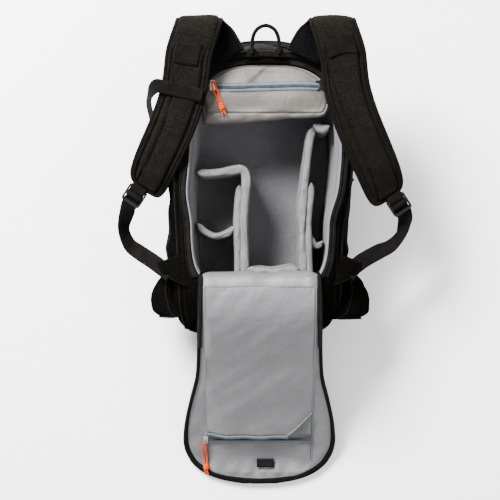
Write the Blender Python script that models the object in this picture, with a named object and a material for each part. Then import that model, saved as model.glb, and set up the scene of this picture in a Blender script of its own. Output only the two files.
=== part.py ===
"""A camera backpack that lies on its front with its back door open.

The floor is z = 0, +X is the wearer's left side seen from the back, +Y points to the top of the bag.
Lengths are in metres. Tables hold shares of the named sizes.
"""
import math

import bpy
import bmesh
import numpy as np
from mathutils import Matrix, Vector
from mathutils.bvhtree import BVHTree

# Body
BODY_WIDTH = 0.282
BODY_LENGTH = 0.435
RIM_HEIGHT = 0.170
FRONT_DEPTH = 0.035
SHELL_WALL = 0.006
LIP_THICK = 0.0095
TOP_SHIFT = 0.0083
RING_POINTS = 44

# Camera bay
OPENING_WIDTH = 0.224
OPENING_LENGTH = 0.326
LINING_WALL = 0.006
LINING_EDGE = 0.0025
BAY_MARGIN = 0.028
DIVIDER_THICK = 0.011
DIVIDER_HEIGHT = 0.102
LID_LENGTH = 0.074
LID_THICK = 0.017
LID_RISE = 0.35
LID_EDGE = 0.88
LID_CORNER = 0.25
LID_ZIP_UP = 0.43
LID_ZIP_REACH = 0.68
LID_ZIP_ASIDE = 0.002

# Back door
FLAP_REACH = 0.340
FLAP_WIDTH = 0.241
FLAP_PAD = 0.009
FLAP_BINDING = 0.0055
POCKET_WIDTH = 0.166
POCKET_LIFT = 0.009
POCKET_STITCH = 0.052
POCKET_MOUTH = 0.752
LABEL_LEFT = -0.0030
LABEL_RIGHT = 0.0235
LABEL_NEAR = 0.888
LABEL_FAR = 0.930

# Straps
STRAP_WIDTH = 0.060
STRAP_THICK = 0.012
STRAP_BINDING = 0.0035
YOKE_REACH = 0.092
YOKE_OVERHANG = 0.002
YOKE_THICK = 0.008
WEB_WIDTH = 0.024
WEB_THICK = 0.0018
CHEST_WEB_WIDTH = 0.018

# Adjusters, buckle, handle and small hardware
LOCK_WIDTH = 0.031
LOCK_LENGTH = 0.029
LOCK_THICK = 0.005
LOCK_BAR = 0.0045
LOCK_AHEAD = 0.0195
LOCK_ASIDE = 0.008
LOCK_DIP = 0.25
LOCK_CORNER = 0.0045
SLOT_CORNER = 0.0012
BUCKLE_WIDTH = 0.019
BUCKLE_LENGTH = 0.018
BUCKLE_THICK = 0.007
HANDLE_RADIUS = 0.0022
HANDLE_SPAN = 0.040
TAB_SEAT = 0.012
TAB_LIFT = 0.006
POCKET_SWELL = 0.006
HANDLE_REACH = 0.041
SLIDER_LENGTH = 0.011
SLIDER_WIDTH = 0.008
SLIDER_THICK = 0.004
TAB_LENGTH = 0.013
TAB_WIDTH = 0.007
TAB_THICK = 0.0012
ZIP_TAPE = 0.008
ZIP_THICK = 0.0022
CORD_RADIUS = 0.0013
KNOT_WIDTH = 0.0060
KNOT_LENGTH = 0.0120
PIPING_RADIUS = 0.002

# Sides
WING_HIGH = -0.312
WING_LEVEL = 0.765
WING_LENGTH = 0.062
WING_LIFT = 0.0098
WING_REACH = 0.167
SIDE_POCKET_LENGTH = 0.138
SIDE_POCKET_LOW = -0.290
SIDE_POCKET_BOTTOM = 0.310
SIDE_POCKET_TOP = 0.760
CLOTH = 0.002
THIN_CLOTH = 0.0014
SEAM_GAP = 0.0003
SIDE_CLEAR = 0.0009
WING_GAP = 0.0020

HALF = BODY_WIDTH / 2
OPENING_HALF = OPENING_WIDTH / 2
FLAP_HALF = FLAP_WIDTH / 2
FLOOR_LEVEL = FRONT_DEPTH + SEAM_GAP + SHELL_WALL + SEAM_GAP + LINING_WALL

# Where the opening and the body lie along the length, as shares of BODY_LENGTH
OPENING_HIGH = 0.409
FLAP_ROOT = -0.299

# Outer body, from the floor side to the rim. Height is a share of RIM_HEIGHT, left and right are
# shares of HALF, low and high are shares of BODY_LENGTH, waist narrows the lower half.
SHELL_LEVELS = (
    # height, left, right, low, high, waist
    (0.209, 0.900, 0.850, -0.490, 0.450, 0.00),
    (0.300, 0.955, 0.890, -0.513, 0.465, 0.00),
    (0.590, 0.990, 0.920, -0.526, 0.474, 0.00),
    (0.765, 0.985, 0.935, -0.490, 0.474, 0.01),
    (0.882, 0.965, 0.955, -0.440, 0.471, 0.05),
    (0.962, 0.930, 0.930, -0.398, 0.464, 0.09),
)
RIM_TOP = (1.0, 0.890, 0.890, -0.372, 0.455, 0.09)

# The front compartment under the body, in the same columns
FRONT_LEVELS = (
    # height, left, right, low, high, waist
    (0.000, 0.760, 0.740, -0.440, 0.500, 0.00),
    (0.035, 0.830, 0.800, -0.470, 0.535, 0.00),
    (0.130, 0.850, 0.820, -0.478, 0.547, 0.00),
    (0.206, 0.800, 0.770, -0.455, 0.520, 0.00),
)

# The door's underside from the root fold to its far end
FLAP_ROUTE = (
    # reach as a share of FLAP_REACH, height as a share of RIM_HEIGHT
    (0.000, 1.0060),
    (0.059, 1.0035),
    (0.110, 1.0030),
    (0.160, 0.9800),
    (0.215, 0.9150),
    (0.320, 0.7600),
    (0.500, 0.4650),
    (0.676, 0.2120),
    (0.809, 0.0620),
    (0.890, 0.0060),
    (1.000, 0.0000),
)

# The door's outline: share of its length from the root, half width as a share of FLAP_HALF
FLAP_SIDES = (
    (0.000, 0.765),
    (0.100, 0.762),
    (0.160, 0.767),
    (0.240, 0.776),
    (0.320, 0.783),
    (0.468, 0.818),
    (0.580, 0.892),
    (0.698, 0.968),
    (0.784, 1.000),
    (0.830, 0.995),
    (0.870, 0.962),
    (0.912, 0.895),
    (0.945, 0.785),
    (0.970, 0.640),
    (0.988, 0.445),
    (1.000, 0.200),
)

# Shoulder strap, mirrored for the other side. Out, up and height place its middle line.
STRAP_ROUTE = (
    # out by HALF, up by BODY_LENGTH, height by RIM_HEIGHT, turn in degrees, width share
    (0.411, 0.4320, 1.0850, -25, 0.86),
    (0.552, 0.5062, 1.0930, -15, 0.95),
    (0.655, 0.5420, 1.122, -6, 0.98),
    (0.689, 0.5580, 1.194, 0, 1.00),
    (0.702, 0.5372, 1.265, 3, 1.00),
    (0.763, 0.4760, 1.268, 8, 1.00),
    (0.806, 0.4240, 1.241, 10, 1.00),
    (0.845, 0.3287, 1.194, 13, 1.00),
    (0.942, 0.2294, 1.147, 20, 1.00),
    (1.054, 0.1460, 1.100, 25, 1.00),
    (1.165, 0.0731, 1.029, 27, 0.97),
    (1.245, 0.0184, 0.930, 30, 0.90),
    (1.275, -0.0069, 0.900, 34, 0.72),
)
STRAP_SECTION = ((-1.0, -0.35), (-0.82, -0.95), (0.0, -1.0), (0.82, -0.95), (1.0, -0.35))
RIGHT_DROP = (0.004, -0.013)
CHEST_ROW = 14
CHEST_SLIDE = (0.006, -0.010)

# Lower webbing from the adjuster to the side tab, in the strap's columns, with the twist in degrees
LOWER_WEB_ROUTE = (
    # out, up, height, turn, twist
    (1.482, -0.0885, 0.790, 16, 22),
    (1.512, -0.1437, 0.735, 0, 48),
    (1.440, -0.1975, 0.700, -36, 36),
    (1.345, -0.2230, 0.710, -54, 14),
    (1.170, -0.2570, 0.790, -56, 0),
    (1.035, -0.2860, 0.880, -56, 0),
)

# Hip wing from its upper end: share of its length, outer face as a share of WING_REACH
WING_SIDES = (
    (0.00, 0.920), (0.10, 0.950), (0.30, 0.982), (0.50, 0.998), (0.70, 1.000), (0.88, 0.990), (1.00, 0.955),
)
HIP_WEB_REACH = 0.93

# Side tab from its upper end: up as a share of BODY_LENGTH, how far it stands off as a share
TAB_SIDES = ((-0.253, 0.12), (-0.280, 0.62), (-0.305, 0.80), (-0.345, 0.15))

# Dividers: name, height share, then the middle line as shares of OPENING_HALF and BODY_LENGTH
DIVIDERS = (
    ("divider_left_bent", 1.00, (
        (-0.885, 0.050), (-0.600, 0.048), (-0.330, 0.058), (-0.235, 0.040),
        (-0.213, -0.040), (-0.213, -0.150), (-0.200, -0.300), (-0.200, -0.390),
    )),
    ("divider_left_lower", 0.92, (
        (-0.805, -0.136), (-0.735, -0.158), (-0.600, -0.172), (-0.440, -0.162), (-0.315, -0.136),
    )),
    ("divider_right_long", 1.00, (
        (0.630, 0.210), (0.585, 0.150), (0.562, 0.050), (0.560, -0.100), (0.578, -0.290), (0.578, -0.390),
    )),
    ("divider_right_top", 1.05, ((0.740, 0.201), (0.790, 0.198), (0.840, 0.201))),
    ("divider_right_lower", 0.90, ((0.660, -0.174), (0.700, -0.191), (0.755, -0.200), (0.815, -0.200))),
    ("divider_centre_low", 1.02, ((-0.120, -0.292), (0.180, -0.302), (0.490, -0.292))),
)
DIVIDER_TOP = ((-1.0, 0.0), (-1.0, 0.945), (-0.55, 1.0), (0.55, 1.0), (1.0, 0.945), (1.0, 0.0))

# Zip pulls: cord points in metres from the slider's middle on its tape, chosen by hand
LID_CORD_ROUTE = (
    # across, up the bag, off the tape
    (0.0000, 0.0070, 0.0075),
    (0.0035, -0.0045, 0.0080),
    (0.0080, -0.0150, 0.0046),
    (0.0112, -0.0240, 0.0040),
)
FLAP_CORD_ROUTE = (
    # across, up the bag, off the tape
    (0.0000, -0.0070, 0.0075),
    (-0.0010, -0.0220, 0.0048),
    (0.0010, -0.0380, 0.0036),
    (0.0020, -0.0530, 0.0035),
)

# Camera bay: its width as shares of the opening's, at the floor, just above it and under the lip
BAY_SHARES = (0.900, 0.925, 0.985)

# The chest webbing's loop on the left strap: shares of the strap's reach across and along, drop in metres
CHEST_LOOP = (
    (-0.86, 0.00, 0.000),
    (0.00, 0.00, 0.000),
    (1.00, 0.00, 0.000),
    (1.26, 0.03, -0.003),
    (1.44, 0.30, -0.010),
    (1.46, 0.75, -0.017),
    (1.32, 1.15, -0.020),
)
CHEST_SHARES = (-0.5, 0.0, 0.4, 0.75)

# The buckle half's outline on one side: shares of half its width and of its length
BUCKLE_SHARES = ((1.00, 0.00), (1.00, 0.50), (0.75, 0.62), (0.85, 0.90), (0.55, 1.00), (0.35, 0.66))

# The carry handle's left half: shares of half its span and of its reach, rise in metres
HANDLE_ROUTE = (
    (-1.00, 0.00, 0.0000),
    (-1.00, 0.30, 0.0000),
    (-0.93, 0.62, 0.0035),
    (-0.62, 0.92, 0.0065),
    (0.00, 1.06, 0.0080),
)

COLOURS = {
    "shell": (0.020, 0.018, 0.017, 1.0),
    "front": (0.055, 0.053, 0.052, 1.0),
    "strap": (0.028, 0.024, 0.020, 1.0),
    "webbing": (0.016, 0.014, 0.013, 1.0),
    "lining": (0.400, 0.400, 0.410, 1.0),
    "divider": (0.560, 0.560, 0.560, 1.0),
    "zip": (0.350, 0.400, 0.440, 1.0),
    "plastic": (0.010, 0.010, 0.010, 1.0),
    "metal": (0.600, 0.600, 0.600, 1.0),
    "cord": (0.800, 0.130, 0.030, 1.0),
}


def clear_scene():
    for obj in list(bpy.data.objects):
        bpy.data.objects.remove(obj, do_unlink=True)


def material(kind):
    found = bpy.data.materials.get(kind)
    if found:
        return found
    made = bpy.data.materials.new(kind)
    made.use_nodes = True
    shader = made.node_tree.nodes["Principled BSDF"]
    shader.inputs["Base Color"].default_value = COLOURS[kind]
    shader.inputs["Roughness"].default_value = 0.3 if kind in ("plastic", "metal") else 0.85
    shader.inputs["Metallic"].default_value = 1.0 if kind == "metal" else 0.0
    return made


def place(obj, kind):
    obj.data.materials.append(material(kind))
    for held in list(obj.users_collection):
        held.objects.unlink(obj)
    BAG.objects.link(obj)
    return obj


def solid(name, points, faces, kind):
    """One closed mesh object with its faces pointing out."""
    mesh = bpy.data.meshes.new(name)
    mesh.from_pydata([tuple(map(float, p)) for p in points], [], faces)
    work = bmesh.new()
    work.from_mesh(mesh)
    bmesh.ops.recalc_face_normals(work, faces=work.faces)
    if work.calc_volume(signed=True) < 0:
        bmesh.ops.reverse_faces(work, faces=work.faces)
    work.to_mesh(mesh)
    work.free()
    mesh.shade_smooth()
    mesh.set_sharp_from_angle(angle=math.radians(40))
    obj = bpy.data.objects.new(name, mesh)
    bpy.context.scene.collection.objects.link(obj)
    return place(obj, kind)


def loft(name, rings, kind, closed=False):
    """A skin through rings of equal count. Both ends are filled unless the rings close on themselves."""
    count = len(rings[0])
    total = len(rings)
    points = [p for ring in rings for p in ring]
    faces = []
    for i in range(total if closed else total - 1):
        a = i * count
        b = (i + 1) % total * count
        for j in range(count):
            k = (j + 1) % count
            faces.append((a + j, a + k, b + k, b + j))
    if not closed:
        faces.append(tuple(range(count)))
        faces.append(tuple(range((total - 1) * count, total * count)))
    return solid(name, points, faces, kind)


def slab(name, upper, lower, kind):
    """A sheet between two grids of points, each a list of rows."""
    rows = len(upper)
    cols = len(upper[0])
    points = [p for row in upper for p in row] + [p for row in lower for p in row]
    under = rows * cols
    faces = []
    for i in range(rows - 1):
        for j in range(cols - 1):
            a = i * cols + j
            cell = (a, a + 1, a + cols + 1, a + cols)
            faces.append(cell)
            faces.append(tuple(under + v for v in reversed(cell)))
    rim = [j for j in range(cols)]
    rim += [i * cols + cols - 1 for i in range(1, rows)]
    rim += [(rows - 1) * cols + j for j in range(cols - 2, -1, -1)]
    rim += [i * cols for i in range(rows - 2, 0, -1)]
    for a, b in zip(rim, rim[1:] + rim[:1]):
        faces.append((a, under + a, under + b, b))
    return solid(name, points, faces, kind)


def tube(name, route, radius, kind, resolution=2):
    """A round cord along a route, with filled ends."""
    curve = bpy.data.curves.new(name, "CURVE")
    curve.dimensions = "3D"
    curve.bevel_depth = radius
    curve.bevel_resolution = resolution
    curve.use_fill_caps = True
    line = curve.splines.new("POLY")
    line.points.add(len(route) - 1)
    for point, spot in zip(line.points, route):
        point.co = (*map(float, spot), 1.0)
    obj = bpy.data.objects.new(name, curve)
    bpy.context.scene.collection.objects.link(obj)
    return place(obj, kind)


def plate(name, outlines, thick, frame, kind):
    """A flat plate with holes: the first outline is its edge, the others are cut out."""
    curve = bpy.data.curves.new(name, "CURVE")
    curve.dimensions = "2D"
    curve.fill_mode = "BOTH"
    curve.extrude = thick / 2
    for outline in outlines:
        line = curve.splines.new("POLY")
        line.points.add(len(outline) - 1)
        line.use_cyclic_u = True
        for point, (x, y) in zip(line.points, outline):
            point.co = (x, y, 0.0, 1.0)
    obj = bpy.data.objects.new(name, curve)
    obj.matrix_world = frame
    bpy.context.scene.collection.objects.link(obj)
    return place(obj, kind)


def rounded_rectangle(width, length, radius, centre=(0.0, 0.0), steps=3):
    points = []
    for turn, (sx, sy) in enumerate(((1, 1), (-1, 1), (-1, -1), (1, -1))):
        for step in range(steps + 1):
            angle = math.radians(90) * (turn + step / steps)
            x = centre[0] + sx * (width / 2 - radius) + radius * math.cos(angle)
            y = centre[1] + sy * (length / 2 - radius) + radius * math.sin(angle)
            points.append((x, y))
    return points


def frame_at(origin, across, along):
    """A placing matrix whose x is across, y is along and z is the normal."""
    x = Vector(across).normalized()
    z = x.cross(Vector(along)).normalized()
    y = z.cross(x)
    turned = Matrix((x, y, z)).transposed().to_4x4()
    return Matrix.Translation(Vector(origin)) @ turned


def smooth_step(share):
    t = min(1.0, max(0.0, share))
    return t * t * (3 - 2 * t)


def smooth_rows(rows, steps):
    """A smooth curve through the rows of a table, with that many points to each stretch."""
    held = np.array(rows, float)
    held = np.vstack([2 * held[0] - held[1], held, 2 * held[-1] - held[-2]])
    made = []
    for i in range(1, len(held) - 2):
        a, b, c, d = held[i - 1:i + 3]
        for step in range(steps):
            t = step / steps
            made.append(0.5 * (2 * b + (c - a) * t + (2 * a - 5 * b + 4 * c - d) * t ** 2
                               + (3 * b - a - 3 * c + d) * t ** 3))
    made.append(held[-2])
    return np.array(made)


def lean(y):
    """The upper half of the opened bag slumps a little to one side."""
    return TOP_SHIFT * smooth_step((y / BODY_LENGTH + 0.14) / 0.28)


def strap_lean(y):
    return TOP_SHIFT * smooth_step((y / BODY_LENGTH + 0.31) / 0.25)


def waist_at(y, waist):
    return 1 - waist * smooth_step(-y / (0.14 * BODY_LENGTH))


def oval(left, right, low, high, waist, z, powers=(6.0, 3.0), widest=0.0, grow=0.0, count=RING_POINTS):
    """A closed outline from its low middle point round by +X. grow moves it outwards."""
    halves = []
    for side, reach in ((1, right), (-1, left)):
        angles = np.linspace(-math.pi / 2, math.pi / 2, 241)
        rows = []
        for angle in angles:
            power = powers[0] if angle < 0 else powers[1]
            end = (widest - low) if angle < 0 else (high - widest)
            up = math.copysign(abs(math.sin(angle)) ** (2 / power), math.sin(angle))
            y = widest + up * (end + grow)
            x = (reach + grow) * abs(math.cos(angle)) ** (2 / power) * waist_at(y, waist)
            rows.append((side * x + lean(y), y))
        rows = np.array(rows)
        run = np.concatenate([[0], np.cumsum(np.linalg.norm(np.diff(rows, axis=0), axis=1))])
        at = np.linspace(0, run[-1], count // 2 + 1)
        half = np.stack([np.interp(at, run, rows[:, k]) for k in range(2)], axis=1)
        halves.append(half)
    ring = np.vstack([halves[0][:-1], halves[1][::-1][:-1]])
    return np.column_stack([ring, np.full(len(ring), z)])


def level_ring(row, grow=0.0, lift=0.0):
    height, left, right, low, high, waist = row
    return oval(left * HALF, right * HALF, low * BODY_LENGTH, high * BODY_LENGTH, waist,
                height * RIM_HEIGHT + lift, grow=grow)


def level_at(z):
    """The shell's row of shares at a height."""
    table = np.array(SHELL_LEVELS)
    share = z / RIM_HEIGHT
    return tuple(np.interp(share, table[:, 0], table[:, k]) for k in range(table.shape[1]))


def tree_of(name):
    """A search tree of a piece's faces."""
    mesh = bpy.data.objects[name].data
    corners = [v.co for v in mesh.vertices]
    return BVHTree.FromPolygons(corners, [tuple(face.vertices) for face in mesh.polygons])


def side_reach(y, z, side):
    """How far out from the leaning middle the shell's side lies, with its clearance."""
    start = Vector((lean(y) + side * BODY_WIDTH, y, z))
    spot = SHELL_TREE.ray_cast(start, Vector((-side, 0, 0)))[0]
    return side * (spot.x - lean(y)) + SIDE_CLEAR


def opening_ring(z, grow=0.0, shrink=1.0):
    high = OPENING_HIGH * BODY_LENGTH
    return oval(OPENING_HALF * shrink, OPENING_HALF * shrink, high - OPENING_LENGTH, high, 0.09, z,
                powers=(6.0, 3.0), widest=0.07 * BODY_LENGTH, grow=grow)


def bay_ring(z, shrink, grow=0.0):
    high = OPENING_HIGH * BODY_LENGTH + 0.2 * BAY_MARGIN
    low = OPENING_HIGH * BODY_LENGTH - OPENING_LENGTH - BAY_MARGIN
    return oval(OPENING_HALF * shrink, OPENING_HALF * shrink, low, high, 0.05, z,
                powers=(6.0, 3.0), grow=grow)


def build_body():
    wall = -SHELL_WALL
    lip_base = RIM_HEIGHT - LIP_THICK
    hole = LINING_EDGE + SEAM_GAP
    rings = [level_ring(row) for row in SHELL_LEVELS]
    rings[0][:, 2] = FRONT_DEPTH + SEAM_GAP
    rings.append(level_ring(RIM_TOP))
    rings.append(opening_ring(RIM_HEIGHT, grow=hole))
    rings.append(opening_ring(lip_base, grow=hole))
    rings.append(level_ring(level_at(lip_base - CLOTH), grow=wall))
    for row in SHELL_LEVELS[4:1:-1]:
        rings.append(level_ring(row, grow=wall))
    rings.append(level_ring(SHELL_LEVELS[1], grow=wall, lift=CLOTH))
    floor = level_ring(SHELL_LEVELS[0], grow=wall)
    floor[:, 2] = FRONT_DEPTH + SEAM_GAP + SHELL_WALL
    rings.append(floor)
    loft("main_shell", rings, "shell")

    lip = lip_base - CLOTH - SEAM_GAP - LINING_WALL
    floor_top = FLOOR_LEVEL
    base_share, wall_share, lip_share = BAY_SHARES
    lining = [bay_ring(floor_top, base_share)]
    lining.append(bay_ring(floor_top + CLOTH, wall_share))
    lining.append(bay_ring(lip, lip_share))
    lining.append(opening_ring(lip + LINING_WALL))
    lining.append(opening_ring(RIM_HEIGHT - SEAM_GAP))
    lining.append(opening_ring(RIM_HEIGHT - SEAM_GAP, grow=LINING_EDGE))
    lining.append(opening_ring(lip + LINING_WALL + CLOTH, grow=LINING_EDGE))
    lining.append(bay_ring(lip, lip_share, grow=LINING_WALL))
    lining.append(bay_ring(floor_top, wall_share, grow=LINING_WALL))
    lining.append(bay_ring(floor_top - LINING_WALL, base_share, grow=0.5 * LINING_WALL))
    loft("lining", lining, "lining")

    fronts = [level_ring(row) for row in FRONT_LEVELS]
    fronts[-1][:, 2] = FRONT_DEPTH
    loft("front_pocket", fronts, "front")


def build_rim():
    """The zip band round the opening, the piped seams outside it and the padded yoke at the top."""
    inner = opening_ring(RIM_HEIGHT + SEAM_GAP, grow=LINING_EDGE + 2 * SEAM_GAP)
    outer = opening_ring(RIM_HEIGHT + SEAM_GAP, grow=LINING_EDGE + 2 * SEAM_GAP + ZIP_TAPE)
    start = (FLAP_ROOT - 0.02) * BODY_LENGTH
    kept = [i for i in range(RING_POINTS) if inner[i, 1] > start]
    rings = []
    up = np.array([0, 0, ZIP_THICK])
    for i in kept:
        a = inner[i]
        b = outer[i]
        rings.append([a, b, b + 0.6 * up, 0.7 * b + 0.3 * a + up, 0.3 * b + 0.7 * a + up, a + 0.6 * up])
    loft("rim_zip", rings, "webbing")

    piped = level_ring(SHELL_LEVELS[-1], grow=PIPING_RADIUS, lift=0.62 * PIPING_RADIUS)
    for side, name in ((-1, "piping_left"), (1, "piping_right")):
        route = [p for p in piped if side * p[0] > 0.5 * HALF and -0.40 < p[1] / BODY_LENGTH < 0.30]
        route.sort(key=lambda p: p[1])
        tube(name, route, PIPING_RADIUS, "shell", resolution=1)

    inner = opening_ring(RIM_HEIGHT, grow=LINING_EDGE + 3 * SEAM_GAP + ZIP_TAPE)
    outer = level_ring(RIM_TOP, grow=YOKE_OVERHANG)
    rings = []
    upper = inner[inner[:, 1] > 0.1 * BODY_LENGTH]
    for x in sorted(x for x in upper[:, 0] if abs(x - TOP_SHIFT) < YOKE_REACH):
        low = top_edge(inner, x) + SEAM_GAP
        high = top_edge(outer, x)
        ring = []
        for a, h in ((0.08, 0), (0.9, 0), (1, 0.45), (0.85, 1), (0.15, 1), (0, 0.45)):
            ring.append((x, low + a * (high - low), RIM_HEIGHT + SEAM_GAP + h * YOKE_THICK))
        rings.append(ring)
    loft("yoke_panel", rings, "strap")


def top_edge(ring, x):
    """How high up the bag an outline's upper half lies at a place across it."""
    upper = ring[ring[:, 1] > 0.1 * BODY_LENGTH]
    upper = upper[np.argsort(upper[:, 0])]
    return float(np.interp(x, upper[:, 0], upper[:, 1]))


class Door:
    """The open door. Its pieces are given across, along and up from its underside."""

    def __init__(self):
        root = FLAP_ROOT * BODY_LENGTH
        rows = [(root - reach * FLAP_REACH, height * RIM_HEIGHT) for reach, height in FLAP_ROUTE]
        self.line = smooth_rows(rows, 8)
        self.line[:, 1] = np.maximum(self.line[:, 1], 0.0)
        self.run = np.concatenate([[0], np.cumsum(np.linalg.norm(np.diff(self.line, axis=0), axis=1))])
        self.length = self.run[-1]
        slope = np.gradient(self.line, axis=0)
        slope /= np.linalg.norm(slope, axis=1)[:, None]
        self.normal = np.column_stack([slope[:, 1], -slope[:, 0]])
        sides = smooth_rows(FLAP_SIDES, 3)[::2]
        edge = np.column_stack([sides[:, 1] * FLAP_HALF, sides[:, 0] * self.length])
        self.edge = edge

    def inset(self, by):
        """The door's half outline moved inwards, as half widths and distances along."""
        ahead = np.gradient(self.edge, axis=0)
        ahead /= np.linalg.norm(ahead, axis=1)[:, None]
        moved = self.edge + by * np.column_stack([-ahead[:, 1], ahead[:, 0]])
        return moved

    def half_width(self, along, by):
        moved = self.inset(by)
        order = np.argsort(moved[:, 1])
        return float(np.interp(along, moved[order, 1], moved[order, 0]))

    def spot(self, across, along, up):
        y = np.interp(along, self.run, self.line[:, 0])
        z = np.interp(along, self.run, self.line[:, 1])
        n = np.array([np.interp(along, self.run, self.normal[:, k]) for k in range(2)])
        n /= np.linalg.norm(n)
        return np.array([across, y + n[0] * up, z + n[1] * up])

    def sheet(self, name, along, cols, by, low, high, kind, half=None):
        """A layer between two heights, which are numbers or functions of across share and along."""
        def rows(height):
            made = []
            for s in along:
                w = self.half_width(s, by) if half is None else half
                row = []
                for share in np.linspace(-1, 1, cols):
                    h = height(share, s) if callable(height) else height
                    row.append(self.spot(share * w, s, h))
                made.append(row)
            return made
        return slab(name, rows(high), rows(low), kind)


def build_door(door):
    by = FLAP_BINDING + 2 * SEAM_GAP
    along = door.inset(by)[:, 1]
    door.sheet("flap_pad", along, 5, by, 0.0, FLAP_PAD, "shell")
    lining = FLAP_PAD + SEAM_GAP
    cloth = lining + THIN_CLOTH
    door.sheet("flap_lining", along, 5, by, lining, cloth, "lining")

    rings = []
    height = cloth + CLOTH / 2
    outer = door.edge
    inner = door.inset(FLAP_BINDING)
    path = [(-1, i) for i in range(len(outer))] + [(1, i) for i in reversed(range(len(outer)))]
    for side, i in path:
        a = inner[i]
        b = outer[i]
        near = 0.3 * a + 0.7 * b
        section = ((a, 0.0), (near, 0.0), (b, 0.35), (b, 0.65), (near, 1.0), (a, 1.0))
        rings.append([door.spot(side * p[0], p[1], share * height) for p, share in section])
    loft("flap_binding", rings, "webbing")

    stitch = POCKET_STITCH * door.length
    mouth = POCKET_MOUTH * door.length
    base = cloth + SEAM_GAP

    def lift(share, s):
        ramp = smooth_step((s - stitch) / (mouth - stitch))
        return base + POCKET_LIFT * (1 - share ** 4) * ramp ** 1.5

    def pocket_half(s):
        return min(POCKET_WIDTH / 2, door.half_width(s, 2 * FLAP_BINDING))

    def cloth_lift(share, s):
        return lift(share, s) + THIN_CLOTH

    def tape_lift(share, s):
        return lift(share, s) + ZIP_THICK

    half = pocket_half(stitch)
    rows = [stitch] + [s for s in along if stitch + CLOTH < s < mouth - CLOTH] + [mouth]
    door.sheet("flap_pocket", rows, 9, 0, lift, cloth_lift, "lining", half)
    tape = np.array([mouth + SEAM_GAP, mouth + ZIP_TAPE])
    door.sheet("flap_zip_upper", tape, 9, 0, lift, tape_lift, "zip", half)
    tape = np.array([mouth + 1.6 * ZIP_TAPE, mouth + 2.6 * ZIP_TAPE])
    door.sheet("flap_zip_lower", tape, 5, 0, base, base + ZIP_THICK, "zip", half)
    label = [LABEL_NEAR * door.length, LABEL_FAR * door.length]
    sides = (LABEL_LEFT, LABEL_RIGHT)
    rows = [[door.spot(x, s, base + h) for x in sides] for h in (THIN_CLOTH, 0) for s in label]
    slab("flap_label", rows[:2], rows[2:], "webbing")
    across = -half - SLIDER_WIDTH / 2 - SEAM_GAP

    def where(x, y, z):
        return Vector(door.spot(across + x, mouth + 1.3 * ZIP_TAPE - y, base + z))

    build_pull("flap", where, -1, FLAP_CORD_ROUTE)


def build_pull(name, where, points_to, route):
    """A zip slider with its metal pull, two cord strands and the knot that holds them.

    where turns a place on the tape, across, up the bag and away from the tape, into a point.
    """
    def frame(y, z):
        spot = where(0, y, z)
        return frame_at(spot, where(CLOTH, y, z) - spot, where(0, y + CLOTH, z) - spot)

    body = rounded_rectangle(SLIDER_WIDTH, SLIDER_LENGTH, SLIDER_WIDTH / 4, steps=2)
    plate(name + "_slider", [body], SLIDER_THICK, frame(0, SLIDER_THICK / 2), "metal")
    outline = rounded_rectangle(TAB_WIDTH, TAB_LENGTH, TAB_WIDTH / 2.2)
    eye_middle = (0, points_to * TAB_LENGTH / 4)
    eye = rounded_rectangle(TAB_WIDTH / 2.2, TAB_LENGTH / 2.6, TAB_WIDTH / 5, eye_middle, 2)
    held = frame(points_to * TAB_LENGTH / 4, SLIDER_THICK + SEAM_GAP + TAB_THICK / 2)
    plate(name + "_tab", [outline, eye], TAB_THICK, held, "metal")
    apart = CORD_RADIUS + SEAM_GAP
    line = smooth_rows(route, 3)
    for side, tag in ((-1, "a"), (1, "b")):
        spots = [where(p[0] + side * apart, p[1], p[2]) for p in line]
        tube(name + "_cord_" + tag, spots, CORD_RADIUS, "cord")
    ahead = Vector(line[-1] - line[-2]).normalized()
    centre = Vector(line[-1]) + ahead * (KNOT_LENGTH / 2 + 3 * SEAM_GAP)
    spot = where(*centre)
    mesh = bpy.data.meshes.new(name + "_knot")
    work = bmesh.new()
    bmesh.ops.create_uvsphere(work, u_segments=10, v_segments=7, radius=0.5)
    bmesh.ops.scale(work, vec=(KNOT_WIDTH, KNOT_LENGTH, 0.8 * KNOT_WIDTH), verts=work.verts)
    work.to_mesh(mesh)
    work.free()
    mesh.shade_smooth()
    obj = bpy.data.objects.new(name + "_knot", mesh)
    aside = where(centre.x + CLOTH, centre.y, centre.z) - spot
    obj.matrix_world = frame_at(spot, aside, where(*(centre + ahead)) - spot)
    bpy.context.scene.collection.objects.link(obj)
    place(obj, "cord")


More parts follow.
